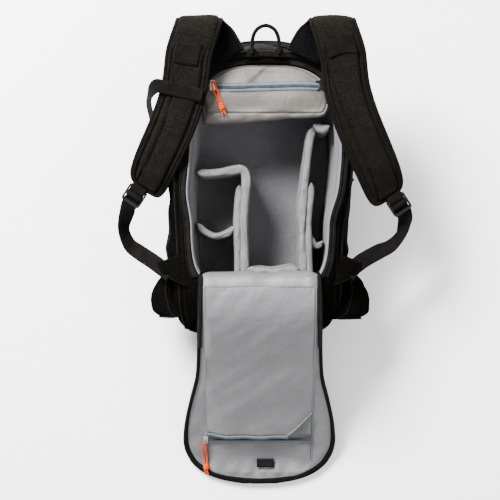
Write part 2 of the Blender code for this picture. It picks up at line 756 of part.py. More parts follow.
def build_lid():
    """The padded zip pocket under the top of the opening."""
    top = RIM_HEIGHT + LID_RISE * LID_THICK
    high = OPENING_HIGH * BODY_LENGTH
    low = high - LID_LENGTH
    rings = []
    for share, grow in ((0.0, -0.30), (0.22, 0.0), (0.62, 0.0), (1.0, -0.30)):
        z = top - LID_THICK * (1 - share)
        ring = opening_ring(z, grow=grow * LID_THICK - SEAM_GAP)
        edge = low - grow * LID_THICK
        corner = LID_CORNER * LID_LENGTH
        points = []
        for x, y, _ in ring:
            middle = lean(y)
            if y < edge:
                y = edge
            inner = abs(x - middle)
            limit = LID_EDGE * OPENING_HALF - 0.5 * corner * max(0.0, 1 - (y - edge) / corner)
            limit += grow * LID_THICK
            if inner > limit:
                x = middle + math.copysign(limit, x - middle)
            points.append((x, y))
        points = np.array(points)
        run = np.vstack([points, points[:1]])
        length = np.concatenate([[0], np.cumsum(np.linalg.norm(np.diff(run, axis=0), axis=1))])
        at = np.linspace(0, length[-1], 33)[:-1]
        even = np.stack([np.interp(at, length, run[:, k]) for k in range(2)], axis=1)
        rings.append(np.column_stack([even, np.full(len(even), z)]))
    loft("lid_pocket", rings, "lining")

    level = top + SEAM_GAP
    middle = high - LID_ZIP_UP * LID_LENGTH
    centre = lean(middle) + LID_ZIP_ASIDE
    reach = LID_ZIP_REACH * OPENING_HALF
    edges = (middle + ZIP_TAPE / 2, middle - ZIP_TAPE / 2)
    upper = []
    lower = []
    for share in np.linspace(-1, 1, 9):
        x = centre + share * reach
        upper.append([(x, y, level + ZIP_THICK) for y in edges])
        lower.append([(x, y, level) for y in edges])
    slab("lid_zip", upper, lower, "zip")

    def where(x, y, z):
        return Vector((centre - reach - SLIDER_WIDTH / 2 - SEAM_GAP + x, middle + y, level + z))

    build_pull("lid", where, 1, LID_CORD_ROUTE)


def build_dividers():
    for name, tall, shares in DIVIDERS:
        places = [(x * OPENING_HALF, y * BODY_LENGTH) for x, y in shares]
        line = smooth_rows(places, 3)
        line[:, 0] += np.array([lean(y) for y in line[:, 1]])
        ahead = np.gradient(line, axis=0)
        ahead /= np.linalg.norm(ahead, axis=1)[:, None]
        rings = []
        for spot, way in zip(line, ahead):
            ring = []
            for a, h in DIVIDER_TOP:
                x = spot[0] - way[1] * a * DIVIDER_THICK / 2
                y = spot[1] + way[0] * a * DIVIDER_THICK / 2
                ring.append((x, y, FLOOR_LEVEL + SEAM_GAP + h * tall * DIVIDER_HEIGHT))
            rings.append(ring)
        loft(name, rings, "divider")


def ribbon(name, spots, acrosses, halves, section, thick, kind):
    """A band along a route. Section rows are shares of its half width and of half its thickness."""
    ahead = np.gradient(np.array(spots), axis=0)
    rings = []
    for spot, across, half, way in zip(spots, acrosses, halves, ahead):
        across = across / np.linalg.norm(across)
        up = np.cross(across, way)
        up /= np.linalg.norm(up)
        rings.append([spot + across * a * half + up * h * thick / 2 for a, h in section])
    return loft(name, rings, kind)


BAND = ((-1, -1), (1, -1), (1, 1), (-1, 1))


class Strap:
    """One shoulder strap: its middle line, its width direction and its half width."""

    def __init__(self, side):
        self.side = side
        rows = smooth_rows(STRAP_ROUTE, 2)
        self.spots = []
        self.acrosses = []
        self.halves = []
        for i, (out, up, height, turn, width) in enumerate(rows):
            x, y = out * HALF, up * BODY_LENGTH
            lower = smooth_step((i / (len(rows) - 1) - 0.62) / 0.38) if side > 0 else 0.0
            spot = self.world(x, y, height * RIM_HEIGHT, lower)
            angle = math.radians(turn)
            self.spots.append(spot)
            self.acrosses.append(np.array([side * math.cos(angle), math.sin(angle), 0.0]))
            self.halves.append(width * STRAP_WIDTH / 2)

    def place_at(self, i):
        """The middle, outward, downward and upper directions at a row, and how far its edge reaches."""
        across = self.acrosses[i] / np.linalg.norm(self.acrosses[i])
        way = np.array(self.spots[i + 1]) - np.array(self.spots[i - 1])
        way /= np.linalg.norm(way)
        normal = np.cross(across, way)
        normal *= math.copysign(1.0, normal[2])
        return np.array(self.spots[i]), across, way, normal, self.halves[i] + STRAP_BINDING + 2 * SEAM_GAP

    def world(self, x, y, z, lower):
        drop = RIGHT_DROP if self.side > 0 else (0, 0)
        moved = y + drop[1] * lower
        return np.array([self.side * (x + drop[0] * lower) + strap_lean(moved), moved, z])


def build_strap(strap, tag):
    section = list(STRAP_SECTION) + [(a, -h) for a, h in reversed(STRAP_SECTION)]
    ribbon("strap_pad_" + tag, strap.spots, strap.acrosses, strap.halves, section, STRAP_THICK, "strap")

    spots = np.array(strap.spots)
    ahead = np.gradient(spots, axis=0)
    ahead /= np.linalg.norm(ahead, axis=1)[:, None]
    clear = STRAP_BINDING / 2 + 3 * SEAM_GAP
    path = []
    for sign, order in ((-1, range(len(spots))), (1, reversed(range(len(spots))))):
        stretch = []
        for i in order:
            out = sign * strap.acrosses[i]
            up = np.cross(strap.acrosses[i], ahead[i])
            up /= np.linalg.norm(up)
            stretch.append((spots[i] + out * (strap.halves[i] + clear), out, up))
        path.append(stretch)
    up = np.cross(strap.acrosses[-1], ahead[-1])
    up /= np.linalg.norm(up)
    bend = []
    for share in (-1, -0.5, 0.5, 1):
        out = ahead[-1] + share * strap.acrosses[-1] * (0.9 if abs(share) == 1 else 0.0)
        out /= np.linalg.norm(out)
        reach = strap.acrosses[-1] * share * strap.halves[-1] + ahead[-1] * clear
        extra = strap.acrosses[-1] * math.copysign(clear, share) if abs(share) == 1 else 0.0
        bend.append((spots[-1] + reach + extra, out, up))
    whole = path[0][:-1] + bend + path[1][1:]
    rings = []
    for spot, out, up in whole:
        ring = []
        for a, h in ((-1, 0.8), (0.3, 1), (1, 0), (0.3, -1), (-1, -0.8)):
            ring.append(spot + out * a * STRAP_BINDING / 2 + up * h * 0.36 * STRAP_THICK)
        rings.append(ring)
    loft("strap_binding_" + tag, rings, "webbing")


def build_adjuster(strap, tag):
    """The ladder lock at the strap's end, its loop, the lower webbing and the side tab."""
    side = strap.side
    across = strap.acrosses[-1] / np.linalg.norm(strap.acrosses[-1])
    along = side * np.array([across[1], -across[0], 0.0]) - np.array([0, 0, LOCK_DIP])
    along /= np.linalg.norm(along)
    start = np.array(strap.spots[-1]) + along * LOCK_AHEAD + across * LOCK_ASIDE
    up = np.cross(across, along)
    up *= math.copysign(1.0, up[2])
    outline = rounded_rectangle(LOCK_WIDTH, LOCK_LENGTH, LOCK_CORNER)
    slot = (LOCK_LENGTH - 3 * LOCK_BAR) / 2
    shift = (slot + LOCK_BAR) / 2
    wide = LOCK_WIDTH - 1.2 * LOCK_BAR
    holes = [rounded_rectangle(wide, slot, SLOT_CORNER, (0, s * shift), 1) for s in (-1, 1)]
    plate("ladder_lock_" + tag, [outline] + holes, LOCK_THICK, frame_at(start, across, along), "plastic")

    leg = LOCK_THICK / 2 + WEB_THICK / 2 + 2 * SEAM_GAP
    turn = shift
    reach = LOCK_AHEAD - STRAP_BINDING - 3 * SEAM_GAP
    loop = [(-reach, 1.0), (-turn - 0.25 * slot, 1.0), (-turn, 0.55), (-turn, 0)]
    loop = loop + [(a, -h) for a, h in reversed(loop[:-1])]
    spots = [start + along * a + up * h * leg for a, h in loop]
    count = len(spots)
    ribbon("lock_loop_" + tag, spots, [across] * count, [WEB_WIDTH / 2] * count, BAND, WEB_THICK, "webbing")

    hook = [(0.42 * LOCK_LENGTH, -1.0), (turn + 0.25 * slot, -1.0), (turn, -0.55), (turn, 0), (turn, 0.55),
            (turn + 0.25 * slot, 1.0), (0.55 * LOCK_LENGTH, 1.0)]
    spots = [start + along * a + up * h * leg for a, h in hook]
    acrosses = [across] * len(spots)
    rows = smooth_rows(LOWER_WEB_ROUTE, 3)
    for i, (out, y, height, turn_by, twist) in enumerate(rows):
        share = 1 - i / (len(rows) - 1)
        spots.append(strap.world(out * HALF, y * BODY_LENGTH, height * RIM_HEIGHT, share))
        angle = math.radians(turn_by)
        roll = math.radians(twist)
        flat = math.cos(roll)
        acrosses.append(np.array([side * flat * math.cos(angle), flat * math.sin(angle), math.sin(roll)]))
    first = acrosses[len(hook)]
    if np.dot(first, across) < 0:
        acrosses = [across] * len(hook) + [-a for a in acrosses[len(hook):]]
    halves = [WEB_WIDTH / 2] * len(spots)
    ribbon("lower_web_" + tag, spots, acrosses, halves, BAND, WEB_THICK, "webbing")


def build_side(side, tag):
    """The side tab, the flat side pocket, the hip wing and its webbing."""
    upper = []
    lower = []
    for y_share, reach in TAB_SIDES:
        y = y_share * BODY_LENGTH
        top = []
        base = []
        for a in np.linspace(0, reach, 4):
            z = RIM_HEIGHT * (0.920 - 0.13 * a)
            x = side_reach(y, z, side) + TAB_LIFT * a ** 2
            base.append((side * x + lean(y), y, z))
            top.append((side * (x + 0.7 * CLOTH) + lean(y), y, z + 0.9 * CLOTH))
        upper.append(top)
        lower.append(base)
    slab("side_tab_" + tag, upper, lower, "webbing")

    low = SIDE_POCKET_LOW * BODY_LENGTH
    tall = SIDE_POCKET_TOP - SIDE_POCKET_BOTTOM
    upper = []
    lower = []
    for y in np.linspace(low, low + SIDE_POCKET_LENGTH, 7):
        top = []
        base = []
        for share in np.linspace(0, 1, 6):
            z = (SIDE_POCKET_BOTTOM + share * tall) * RIM_HEIGHT
            x = side_reach(y, z, side)
            swell = POCKET_SWELL if side > 0 else 0.0
            round_off = math.sin(math.pi * share)
            thick = CLOTH + swell * round_off * smooth_step((y - low) / (0.2 * SIDE_POCKET_LENGTH))
            base.append((side * x + lean(y), y, z))
            top.append((side * (x + thick) + lean(y), y, z))
        upper.append(top)
        lower.append(base)
    slab("side_pocket_" + tag, upper, lower, "shell")

    high = WING_HIGH * BODY_LENGTH
    wing_top = WING_LEVEL * RIM_HEIGHT
    wing_low = FRONT_DEPTH + WING_LIFT
    upper = []
    lower = []
    for share, reach in WING_SIDES:
        y = high - share * WING_LENGTH
        top = []
        base = []
        for depth in np.linspace(0, 1, 7):
            z = wing_top + depth * (wing_low - wing_top)
            x = side_reach(y, z, side) + WING_GAP
            fill = 0.35 + 0.65 * math.sin(math.pi * depth) ** 0.7
            base.append((side * x + lean(y), y, z))
            top.append((side * (x + (reach * WING_REACH - x) * fill) + lean(y), y, z))
        upper.append(top)
        lower.append(base)
    slab("hip_wing_" + tag, upper, lower, "shell")

    y = high - WING_LENGTH - SEAM_GAP - CLOTH / 2
    z = (wing_top + wing_low) / 2
    levels = (z - WEB_WIDTH / 2, z, z + WEB_WIDTH / 2)
    x = max(side_reach(high - WING_LENGTH, level, side) for level in levels) + WING_GAP
    spots = []
    for share in np.linspace(0, 1, 5):
        out = x + share * (HIP_WEB_REACH * WING_REACH - x)
        spots.append(np.array([side * out, y, z]))
    acrosses = [np.array([0, 0, 1.0])] * len(spots)
    ribbon("hip_web_" + tag, spots, acrosses, [WEB_WIDTH / 2] * len(spots), BAND, CLOTH, "webbing")


def build_chest_pieces(left, right):
    """The chest strap's webbing loop on one strap, and its webbing and buckle half on the other."""
    half = CHEST_WEB_WIDTH / 2
    lift = STRAP_THICK / 2 + WEB_THICK / 2 + 2 * SEAM_GAP
    middle, across, way, normal, reach = left.place_at(CHEST_ROW)
    top = middle + normal * lift + way * CHEST_SLIDE[0]
    rows = [top + across * a * reach + way * b * reach + np.array([0, 0, c]) for a, b, c in CHEST_LOOP]
    line = smooth_rows(rows, 3)
    acrosses = []
    for n, step in enumerate(np.gradient(line, axis=0)):
        turned = smooth_step((n / (len(line) - 1) - 0.40) / 0.4)
        flat = np.cross(normal, step)
        flat /= np.linalg.norm(flat)
        acrosses.append(flat * (1 - 0.6 * turned) + np.array([0, 0, 0.8]) * turned)
    ribbon("sternum_web_left", line, acrosses, [half] * len(line), BAND, WEB_THICK, "webbing")

    middle, across, way, normal, reach = right.place_at(CHEST_ROW)
    under = middle - normal * lift + way * CHEST_SLIDE[1]
    spots = [under - across * a * reach for a in CHEST_SHARES]
    ribbon("sternum_web_right", spots, [way] * len(spots), [half] * len(spots), BAND, WEB_THICK, "webbing")
    right_half = [(a * BUCKLE_WIDTH / 2, b * BUCKLE_LENGTH) for a, b in BUCKLE_SHARES]
    body = right_half + [(-x, y) for x, y in reversed(right_half)]
    middle_of_slot = (0, 0.27 * BUCKLE_LENGTH)
    slot = rounded_rectangle(0.75 * BUCKLE_WIDTH, 0.2 * BUCKLE_LENGTH, SLOT_CORNER, middle_of_slot, 1)
    below = normal * (BUCKLE_THICK - WEB_THICK + SEAM_GAP) / 2
    origin = under - below - across * (CHEST_SHARES[-1] * reach + SEAM_GAP)
    plate("sternum_buckle", [body, slot], BUCKLE_THICK, frame_at(origin, way, -across), "plastic")


def build_handle():
    base = RIM_HEIGHT + SEAM_GAP + YOKE_THICK + SEAM_GAP
    y = RIM_TOP[4] * BODY_LENGTH - TAB_SEAT / 2
    half = HANDLE_SPAN / 2
    middle = TOP_SHIFT
    for side, tag in ((-1, "left"), (1, "right")):
        x = middle + side * half
        w = 2.6 * HANDLE_RADIUS
        up = TAB_SEAT / 2
        outline = [(-w, up), (w, up), (1.5 * w, -up), (-1.5 * w, -up)]
        frame = Matrix.Translation((x, y, base + CLOTH / 2))
        plate("handle_tab_" + tag, [list(reversed(outline))], CLOTH, frame, "webbing")
    lift = base + CLOTH + SEAM_GAP + HANDLE_RADIUS
    shares = HANDLE_ROUTE + tuple((-a, b, c) for a, b, c in reversed(HANDLE_ROUTE[:-1]))
    rows = [(middle + a * half, y + b * HANDLE_REACH, lift + c) for a, b, c in shares]
    tube("grab_handle", smooth_rows(rows, 2), HANDLE_RADIUS, "webbing")


clear_scene()
BAG = bpy.data.collections.new("camera_backpack")
bpy.context.scene.collection.children.link(BAG)
build_body()
SHELL_TREE = tree_of("main_shell")
build_rim()
build_door(Door())
build_lid()
build_dividers()
straps = {"left": Strap(-1), "right": Strap(1)}
for tag, strap in straps.items():
    build_strap(strap, tag)
    build_adjuster(strap, tag)
    build_side(strap.side, tag)
build_chest_pieces(straps["left"], straps["right"])
build_handle()
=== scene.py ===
"""The look of a camera backpack that lies on its front with its back door open, seen from above."""
import math

import bmesh
import bpy
import numpy as np
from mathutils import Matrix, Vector
from mathutils.bvhtree import BVHTree


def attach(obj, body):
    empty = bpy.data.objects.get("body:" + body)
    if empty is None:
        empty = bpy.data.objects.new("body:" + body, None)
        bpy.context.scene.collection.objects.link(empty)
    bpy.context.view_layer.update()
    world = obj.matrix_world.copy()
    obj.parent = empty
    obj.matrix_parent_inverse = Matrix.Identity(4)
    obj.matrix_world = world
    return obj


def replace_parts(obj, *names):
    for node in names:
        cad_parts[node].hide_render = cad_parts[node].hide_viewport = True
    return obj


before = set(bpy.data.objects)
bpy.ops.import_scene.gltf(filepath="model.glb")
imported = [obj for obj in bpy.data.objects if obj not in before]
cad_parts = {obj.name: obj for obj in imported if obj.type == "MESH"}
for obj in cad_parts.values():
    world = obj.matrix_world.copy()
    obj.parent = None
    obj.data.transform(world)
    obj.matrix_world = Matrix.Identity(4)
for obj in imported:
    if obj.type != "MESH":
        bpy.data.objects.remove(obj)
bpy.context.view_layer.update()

# Sizes in metres, as in the part's source
BODY_WIDTH = 0.282
BODY_LENGTH = 0.435
RIM_HEIGHT = 0.170
FRONT_DEPTH = 0.035
SHELL_WALL = 0.006
TOP_SHIFT = 0.0083
OPENING_WIDTH = 0.224
OPENING_LENGTH = 0.326
LINING_EDGE = 0.0025
BAY_MARGIN = 0.028
DIVIDER_THICK = 0.011
DIVIDER_HEIGHT = 0.102
LID_LENGTH = 0.074
LID_THICK = 0.017
FLAP_REACH = 0.340
FLAP_WIDTH = 0.241
FLAP_PAD = 0.009
POCKET_WIDTH = 0.166
POCKET_LIFT = 0.009
STRAP_WIDTH = 0.060
STRAP_THICK = 0.012
STRAP_BINDING = 0.0035
WEB_WIDTH = 0.024
WEB_THICK = 0.0018
LOCK_LENGTH = 0.029
LOCK_THICK = 0.005
LOCK_BAR = 0.0045
LOCK_AHEAD = 0.0195
LOCK_ASIDE = 0.008
LOCK_DIP = 0.25
SLIDER_WIDTH = 0.008
CORD_RADIUS = 0.0013
ZIP_TAPE = 0.008
THIN_CLOTH = 0.0014
SEAM_GAP = 0.0003
HALF = BODY_WIDTH / 2
OPENING_HALF = OPENING_WIDTH / 2
FLAP_HALF = FLAP_WIDTH / 2
FLOOR_LEVEL = FRONT_DEPTH + 2 * SEAM_GAP + 2 * SHELL_WALL
OPENING_HIGH = 0.409
FLAP_ROOT = -0.299

# Places that more than one piece follows
# The seam round the body's middle and the zip of the front compartment, as shares of RIM_HEIGHT
MIDDLE_SEAM = 0.45
FRONT_ZIP = 0.105
# How far the lid stands over the rim, as a share of LID_THICK
LID_PROUD = 0.35
# The lid's zip: down from its upper edge by LID_LENGTH, out to each side by OPENING_HALF, then sideways
LID_ZIP_DOWN = 0.43
LID_ZIP_REACH = 0.68
LID_ZIP_SHIFT = 0.002
# The mouth of the door's pocket, as a share of the door's length
POCKET_MOUTH = 0.752
# The corner of the door's pocket that is folded over
POCKET_CORNER = 0.040

# Radii of cords, hems and threads
PIPING_RADIUS = 0.0019
SEAM_RADIUS = 0.0016
COIL_RADIUS = 0.0012
FINE_THREAD = 0.0003
THREAD = 0.00035
PATCH_THREAD = 0.0004
BOLD_THREAD = 0.0005

# The camera: focal length and width of the picture in pixels, and its place in metres
FOCAL_PIXELS = 1430
PICTURE_PIXELS = 500
SENSOR_MM = 36.0
CAMERA_PLACE = (-0.0148, -0.096, 2.3)
# Lights: name, place, size and power in watts
LAMPS = (("key", (-1.2, 1.5, 1.9), 1.0, 470), ("fill", (1.5, -0.6, 2.2), 1.8, 40))
SKY_STRENGTH = 1.15

SHELL_LEVELS = (
    # height by RIM_HEIGHT, left and right by HALF, low and high by BODY_LENGTH, how far the waist goes in
    (0.209, 0.900, 0.850, -0.490, 0.450, 0.00),
    (0.300, 0.955, 0.890, -0.513, 0.465, 0.00),
    (0.590, 0.990, 0.920, -0.526, 0.474, 0.00),
    (0.765, 0.985, 0.935, -0.490, 0.474, 0.01),
    (0.882, 0.965, 0.955, -0.440, 0.471, 0.05),
    (0.962, 0.930, 0.930, -0.398, 0.464, 0.09),
)
RIM_TOP = (1.0, 0.890, 0.890, -0.372, 0.455, 0.09)
FRONT_LEVELS = (
    (0.000, 0.760, 0.740, -0.440, 0.500, 0.00),
    (0.035, 0.830, 0.800, -0.470, 0.535, 0.00),
    (0.130, 0.850, 0.820, -0.478, 0.547, 0.00),
    (0.206, 0.800, 0.770, -0.455, 0.520, 0.00),
)
FLAP_ROUTE = (
    # reach as a share of FLAP_REACH, height as a share of RIM_HEIGHT
    (0.036, 0.9000), (0.028, 0.9380), (0.029, 0.9700), (0.041, 0.9960),
    (0.059, 1.0035), (0.110, 1.0030), (0.160, 0.9800), (0.215, 0.9150), (0.320, 0.7600),
    (0.500, 0.4650), (0.676, 0.2120), (0.809, 0.0620), (0.890, 0.0060), (1.000, 0.0000),
)
FLAP_SIDES = (
    # share of the door's length, half width as a share of FLAP_HALF
    (0.000, 0.735), (0.030, 0.756), (0.100, 0.765), (0.160, 0.769), (0.240, 0.780), (0.320, 0.786),
    (0.468, 0.818), (0.580, 0.892), (0.698, 0.968), (0.784, 1.000), (0.830, 0.995), (0.870, 0.962),
    (0.912, 0.895), (0.945, 0.785), (0.970, 0.640), (0.988, 0.445), (1.000, 0.200),
)
STRAP_ROUTE = (
    # out by HALF, up by BODY_LENGTH, height by RIM_HEIGHT, turn in degrees, width share
    (0.411, 0.4320, 1.0850, -25, 0.86),
    (0.552, 0.5062, 1.0930, -15, 0.95),
    (0.655, 0.5420, 1.122, -6, 0.98),
    (0.689, 0.5580, 1.194, 0, 1.00),
    (0.702, 0.5372, 1.265, 3, 1.00),
    (0.763, 0.4760, 1.268, 8, 1.00),
    (0.806, 0.4240, 1.241, 10, 1.00),
    (0.845, 0.3287, 1.194, 13, 1.00),
    (0.942, 0.2294, 1.147, 20, 1.00),
    (1.054, 0.1460, 1.100, 25, 1.00),
    (1.165, 0.0731, 1.029, 27, 0.97),
    (1.245, 0.0184, 0.930, 30, 0.90),
    (1.275, -0.0069, 0.900, 34, 0.72),
)
# How far the right strap's end lies out and up from its mirrored place
RIGHT_DROP = (0.004, -0.013)
LOWER_WEB_ROUTE = (
    # in the columns of STRAP_ROUTE, with the twist in degrees instead of the width share
    (1.482, -0.0885, 0.790, 16, 22),
    (1.512, -0.1437, 0.735, 0, 48),
    (1.440, -0.1975, 0.700, -36, 36),
    (1.345, -0.2230, 0.710, -54, 14),
    (1.170, -0.2570, 0.790, -56, 0),
    (1.035, -0.2860, 0.870, -56, 0),
    (0.950, -0.3060, 0.915, -56, 0),
)
# How the webbing on the right hangs apart from its mirrored route
RIGHT_WEB_SLACK = np.array([-0.0080, 0.0070, 0.0])
DIVIDERS = {
    # node: height share, thickness share, middle line in shares of OPENING_HALF and BODY_LENGTH
    "divider_left_bent": (1.00, 1.10, (
        (-0.900, 0.047), (-0.760, 0.045), (-0.600, 0.048), (-0.420, 0.056), (-0.300, 0.058), (-0.240, 0.036),
        (-0.226, -0.020), (-0.220, -0.150), (-0.205, -0.300), (-0.200, -0.390),
    )),
    "divider_left_lower": (0.92, 0.85, (
        (-0.850, -0.128), (-0.745, -0.156), (-0.600, -0.172), (-0.440, -0.162), (-0.325, -0.138),
    )),
    "divider_right_long": (1.00, 1.10, (
        (0.640, 0.205), (0.590, 0.150), (0.562, 0.050), (0.560, -0.100), (0.578, -0.290), (0.578, -0.390),
    )),
    "divider_right_top": (1.06, 1.00, ((0.640, 0.213), (0.720, 0.201), (0.790, 0.197), (0.860, 0.208))),
    "divider_right_lower": (0.90, 0.80, ((0.670, -0.166), (0.735, -0.200), (0.800, -0.204), (0.850, -0.190))),
    "divider_centre_low": (1.08, 1.30, (
        (-0.180, -0.290), (0.000, -0.292), (0.180, -0.298), (0.400, -0.292), (0.520, -0.286),
    )),
}
SECOND_LAYERS = {
    # piece: as in DIVIDERS
    "padded_wall_left_second_layer": (0.985, 0.95, (
        (-0.312, 0.004), (-0.306, -0.060), (-0.304, -0.150), (-0.296, -0.300), (-0.290, -0.388),
    )),
    "padded_wall_right_second_layer": (0.97, 0.95, (
        (0.655, 0.012), (0.650, -0.060), (0.652, -0.150), (0.664, -0.290), (0.668, -0.388),
    )),
}
WALL_SECTION = (
    # share of half the thickness, share of the height
    (-0.90, 0.000), (-1.00, 0.080), (-1.04, 0.300), (-1.06, 0.550), (-1.02, 0.780), (-0.95, 0.880),
    (-0.84, 0.918), (-0.78, 0.928), (-0.96, 0.944), (-1.00, 0.957), (-0.90, 0.974), (-0.66, 0.988),
    (-0.34, 0.997),
    (0.00, 1.000),
    (0.34, 0.997), (0.66, 0.988), (0.90, 0.974), (1.00, 0.957), (0.96, 0.944), (0.78, 0.928),
    (0.84, 0.918), (0.95, 0.880), (1.02, 0.780), (1.06, 0.550), (1.04, 0.300), (1.00, 0.080), (0.90, 0.000),
)
LID_CORD_ROUTE = (
    # across, up the bag and off the tape, from the slider's middle
    (0.0000, 0.0070, 0.0075),
    (0.0035, -0.0045, 0.0080),
    (0.0080, -0.0150, 0.0046),
    (0.0112, -0.0240, 0.0040),
)
FLAP_CORD_ROUTE = (
    (0.0000, -0.0070, 0.0075),
    (-0.0010, -0.0220, 0.0048),
    (0.0010, -0.0380, 0.0036),
    (0.0020, -0.0530, 0.0035),
)
PIPING_ROUTE = (
    # out as a share of HALF, up as a share of BODY_LENGTH
    (0.908, 0.300), (0.930, 0.160), (0.925, 0.000), (0.880, -0.140), (0.855, -0.300),
    (0.845, -0.420), (0.800, -0.495),
)
WING_SIDES = (
    # share of the wing's length from its upper end, how far out as a share of its reach
    (0.00, 0.80), (0.10, 0.86), (0.25, 0.94), (0.40, 0.985), (0.55, 1.0), (0.75, 1.005),
    (0.90, 0.995), (1.00, 0.95),
)


def set_camera():
    """Straight above the bag, 2.3 m over the floor, with the top of the bag up."""
    data = bpy.data.cameras.new("overhead")
    data.sensor_width = SENSOR_MM
    data.lens = FOCAL_PIXELS / PICTURE_PIXELS * SENSOR_MM
    camera = bpy.data.objects.new("overhead", data)
    camera.location = CAMERA_PLACE
    bpy.context.scene.collection.objects.link(camera)
    bpy.context.scene.camera = camera


set_camera()


# Materials
# A wave texture at scale 1 repeats each 0.314 m
WAVE_PERIOD = 0.314


def linear(code):
    """A hex sRGB colour as linear values."""
    shares = [int(code[i:i + 2], 16) / 255 for i in (0, 2, 4)]
    return tuple(c / 12.92 if c <= 0.04045 else ((c + 0.055) / 1.055) ** 2.4 for c in shares) + (1.0,)


def add(tree, kind, settings=None, values=None, links=None):
    """One node with its settings, socket values and the links into it."""
    made = tree.nodes.new(kind)
    for key, value in (settings or {}).items():
        setattr(made, key, value)
    for key, value in (values or {}).items():
        made.inputs[key].default_value = value
    for key, source in (links or {}).items():
        tree.links.new(source, made.inputs[key])
    return made


def blank(name, roughness, sheen=0.0, tint="ffffff", metallic=0.0, specular=0.3):
    """A new material with its constant finish set, its tree and its shader."""
    made = bpy.data.materials.new(name)
    made.use_nodes = True
    shader = made.node_tree.nodes["Principled BSDF"]
    shader.inputs["Roughness"].default_value = roughness
    shader.inputs["Metallic"].default_value = metallic
    shader.inputs["Specular IOR Level"].default_value = specular
    shader.inputs["Sheen Weight"].default_value = sheen
    shader.inputs["Sheen Roughness"].default_value = 0.6
    shader.inputs["Sheen Tint"].default_value = linear(tint)
    return made, made.node_tree, shader


def mottle(tree, where, colours, size, detail=4.0, spread=(0.35, 0.65)):
    """A colour that drifts between two over patches of a size in metres."""
    cloud = add(tree, "ShaderNodeTexNoise", values={"Scale": 1 / size, "Detail": detail, "Roughness": 0.6},
                links={"Vector": where})
    share = add(tree, "ShaderNodeMapRange", values={"From Min": spread[0], "From Max": spread[1]},
                links={"Value": cloud.outputs["Fac"]})
    mixed = add(tree, "ShaderNodeMix", {"data_type": "RGBA"}, {6: linear(colours[0]), 7: linear(colours[1])},
                {"Factor": share.outputs["Result"]})
    return mixed.outputs[2]


def threads(tree, where, pitch):
    """The height of a plain weave whose yarns lie a pitch apart in metres."""
    ways = []
    for direction in "XY":
        ways.append(add(tree, "ShaderNodeTexWave", {"bands_direction": direction},
                        {"Scale": WAVE_PERIOD / pitch, "Distortion": 0.6, "Detail Scale": 2.0},
                        {"Vector": where}))
    both = add(tree, "ShaderNodeMath", {"operation": "MULTIPLY"},
               links={k: ways[k].outputs["Fac"] for k in (0, 1)})
    return both.outputs[0]


def bumped(tree, shader, height, depth):
    """A bump of a depth in metres, over any bump that the shader already has."""
    bump = add(tree, "ShaderNodeBump", values={"Distance": depth}, links={"Height": height})
    if shader.inputs["Normal"].is_linked:
        tree.links.new(shader.inputs["Normal"].links[0].from_socket, bump.inputs["Normal"])
    tree.links.new(bump.outputs["Normal"], shader.inputs["Normal"])


def shade(tree, shader, base, pattern, low, high, spread=(0.0, 1.0)):
    """A colour made darker and lighter by a pattern, between two shares of its own brightness."""
    tone = add(tree, "ShaderNodeMapRange",
               values={"From Min": spread[0], "From Max": spread[1], "To Min": low, "To Max": high},
               links={"Value": pattern})
    shaded = add(tree, "ShaderNodeVectorMath", {"operation": "SCALE"},
                 links={0: base, "Scale": tone.outputs["Result"]})
    tree.links.new(shaded.outputs["Vector"], shader.inputs["Base Color"])


def cloth(name, colours, pitch, roughness, grain=0.0035, sheen=0.0, tint="8a8580", depth=0.0004, folds=0.0008,
          specular=0.06, fleck=0.28):
    """A woven cloth: colour drift, grain that shows at this distance, yarns and soft creases."""
    made, tree, shader = blank(name, roughness, sheen, tint, specular=specular)
    where = add(tree, "ShaderNodeUVMap", {"uv_map": "cloth"}).outputs["UV"]
    room = add(tree, "ShaderNodeTexCoord").outputs["Object"]
    speck = add(tree, "ShaderNodeTexNoise", values={"Scale": 1 / grain, "Detail": 3.0},
                links={"Vector": room})
    drift = mottle(tree, room, colours, 0.030)
    shade(tree, shader, drift, speck.outputs["Fac"], 1 - fleck, 1 + fleck, (0.3, 0.7))
    crease = add(tree, "ShaderNodeTexNoise",
                 values={"Scale": 42.0, "Detail": 5.0, "Roughness": 0.55, "Distortion": 0.4},
                 links={"Vector": room})
    bumped(tree, shader, crease.outputs["Fac"], folds * 4)
    bumped(tree, shader, threads(tree, where, pitch), depth)
    bumped(tree, shader, speck.outputs["Fac"], depth * 1.5)
    return made


def ribbed(name, colours, pitch, roughness, depth=0.0005):
    """A narrow woven tape: ribs across its length, with finer yarns along it."""
    made, tree, shader = blank(name, roughness, specular=0.03)
    where = add(tree, "ShaderNodeUVMap", {"uv_map": "cloth"}).outputs["UV"]
    room = add(tree, "ShaderNodeTexCoord").outputs["Object"]
    ribs = add(tree, "ShaderNodeTexWave", {"bands_direction": "Y"},
               {"Scale": WAVE_PERIOD / pitch, "Distortion": 0.3}, {"Vector": where})
    shade(tree, shader, mottle(tree, room, colours, 0.012), ribs.outputs["Fac"], 0.75, 1.2)
    bumped(tree, shader, ribs.outputs["Fac"], depth)
    bumped(tree, shader, threads(tree, where, pitch * 0.6), depth * 0.5)
    return made


